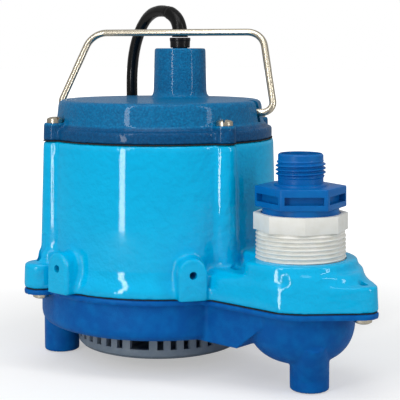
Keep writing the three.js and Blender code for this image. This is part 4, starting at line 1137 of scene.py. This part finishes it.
curve = bpy.data.curves.new("supply_cord", "CURVE")
curve.dimensions = "3D"
curve.resolution_u = 4
curve.bevel_depth = CORD_D / 2 * MM
curve.bevel_resolution = 4
curve.use_fill_caps = True
spline = curve.splines.new("BEZIER")
free_points = [at(*p) for p in cord_points]
inside_boot = cut_line(route_line, BOOT_LENGTH - 1.5, BOOT_LENGTH)[0]
free_points = [inside_boot] + free_points[5:]
spline.bezier_points.add(len(free_points) - 1)
for knot, place in zip(spline.bezier_points, free_points):
    knot.co = place
    knot.handle_left_type = knot.handle_right_type = "AUTO"
cord = bpy.data.objects.new("supply_cord", curve)
bpy.context.scene.collection.objects.link(cord)
cord.data.materials.append(JACKET)
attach(cord, "pump")
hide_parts("power_cord", "cord_tail", "cord_coil")

gland = turned("gland", [
    (2.7, 172.4), (4.6, 172.4), (4.6, 180.7), (5.7, 180.7), (6.1, 181.1), (6.2, 184.8), (6.45, 185.2),
    (6.45, 186.7), (6.1, 187.0), (2.7, 187.0),
], 64, *TOWER, ring=True)
settle(polish(gland, 30), "pump", "gland_plastic", NYLON, "gland_nut")

# %% [markdown]
# ## The plug
# A moulded three-pin plug. Its body is lofted from rounded-square sections: narrow at the cord, with grip
# ribs, and broad at the face. The three pins keep their frame solids and only get their metal.

# %% Loft the plug body
PLUG_ANGLE, PLUG_Z = 41.7, 12.7
PLUG_SECTIONS = (
    (0.0, 4.6, 4.6), (2.0, 5.6, 5.6), (4.0, 5.7, 5.7), (4.6, 5.0, 5.0), (6.4, 5.2, 5.2),
    (7.0, 6.3, 6.3), (9.0, 6.6, 6.5), (9.6, 5.8, 5.8), (11.4, 6.1, 6.0), (12.0, 7.4, 7.2),
    (15.0, 8.4, 8.0), (19.0, 9.6, 8.9), (24.0, 11.4, 10.3), (28.0, 12.7, 11.3), (33.0, 13.4, 11.9),
    (36.5, 13.5, 12.0), (37.6, 13.0, 11.5), (38.0, 12.2, 10.7),
)


def lofted_plug(name, sides=40):
    along = Vector((*polar(1, PLUG_ANGLE), 0))
    across = Vector((-along.y, along.x, 0))
    end = at(*CORD_TAIL[-1][:2], PLUG_Z) + along * 0.6 * MM
    vertices = []
    for distance, wide, high in PLUG_SECTIONS:
        for step in range(sides):
            angle = 2 * math.pi * step / sides
            c, s = math.cos(angle), math.sin(angle)
            square = (abs(c) ** 3 + abs(s) ** 3) ** (-1 / 3)
            vertices.append(end + along * distance * MM + across * c * square * wide * MM
                            + Vector((0, 0, s * square * high * MM)))
    return face_out(link_mesh(name, vertices, loft_faces(len(PLUG_SECTIONS), sides)))


plug = polish(lofted_plug("plug_shell"), 50)
settle(plug, "pump", "black_rubber", RUBBER, "plug_body")

# %% [markdown]
# ## Pieces that keep their frame solids
# Motor, bearings, seal, impeller and gaskets already have their real shapes, and sit inside where nobody
# sees them until a cover comes off. They only need their real finishes.

# %% Finishes on the frame's own pieces
kept_finishes = {
    "stator_core": LAMINATIONS, "rotor_core": LAMINATIONS, "winding_upper": COPPER, "winding_lower": COPPER,
    "motor_shaft": STAINLESS, "impeller_nut": STAINLESS, "upper_bearing": BEARING_STEEL,
    "lower_bearing": BEARING_STEEL, "seal_seat": CARBON, "seal_head": CARBON, "thermal_protector": CARBON,
    "impeller": IMPELLER_BLACK, "volute_gasket": FIBRE, "plug_blade_1": BRASS, "plug_blade_2": BRASS,
    "plug_ground_pin": BRASS,
}
kept_finishes.update({f"lead_{colour}": material for colour, material in LEADS.items()})
for name, material in kept_finishes.items():
    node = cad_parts[name]
    node.data.materials.clear()
    node.data.materials.append(material)

gasket = turned("gasket_ring", [(58, 127.5), (66.9, 127.5), (66.9, 128.0), (58, 128.0)], 128, ring=True)
tabs = [disc("tab", 6.6, 127.5, 128.0, 40, *polar(RIB_R, angle)) for angle in SCREW_ANGLES]
cover_gasket = polish(join("cover_gasket_sheet", [gasket] + tabs), 30)
settle(cover_gasket, "pump", "gasket_fibre", FIBRE, "cover_gasket")
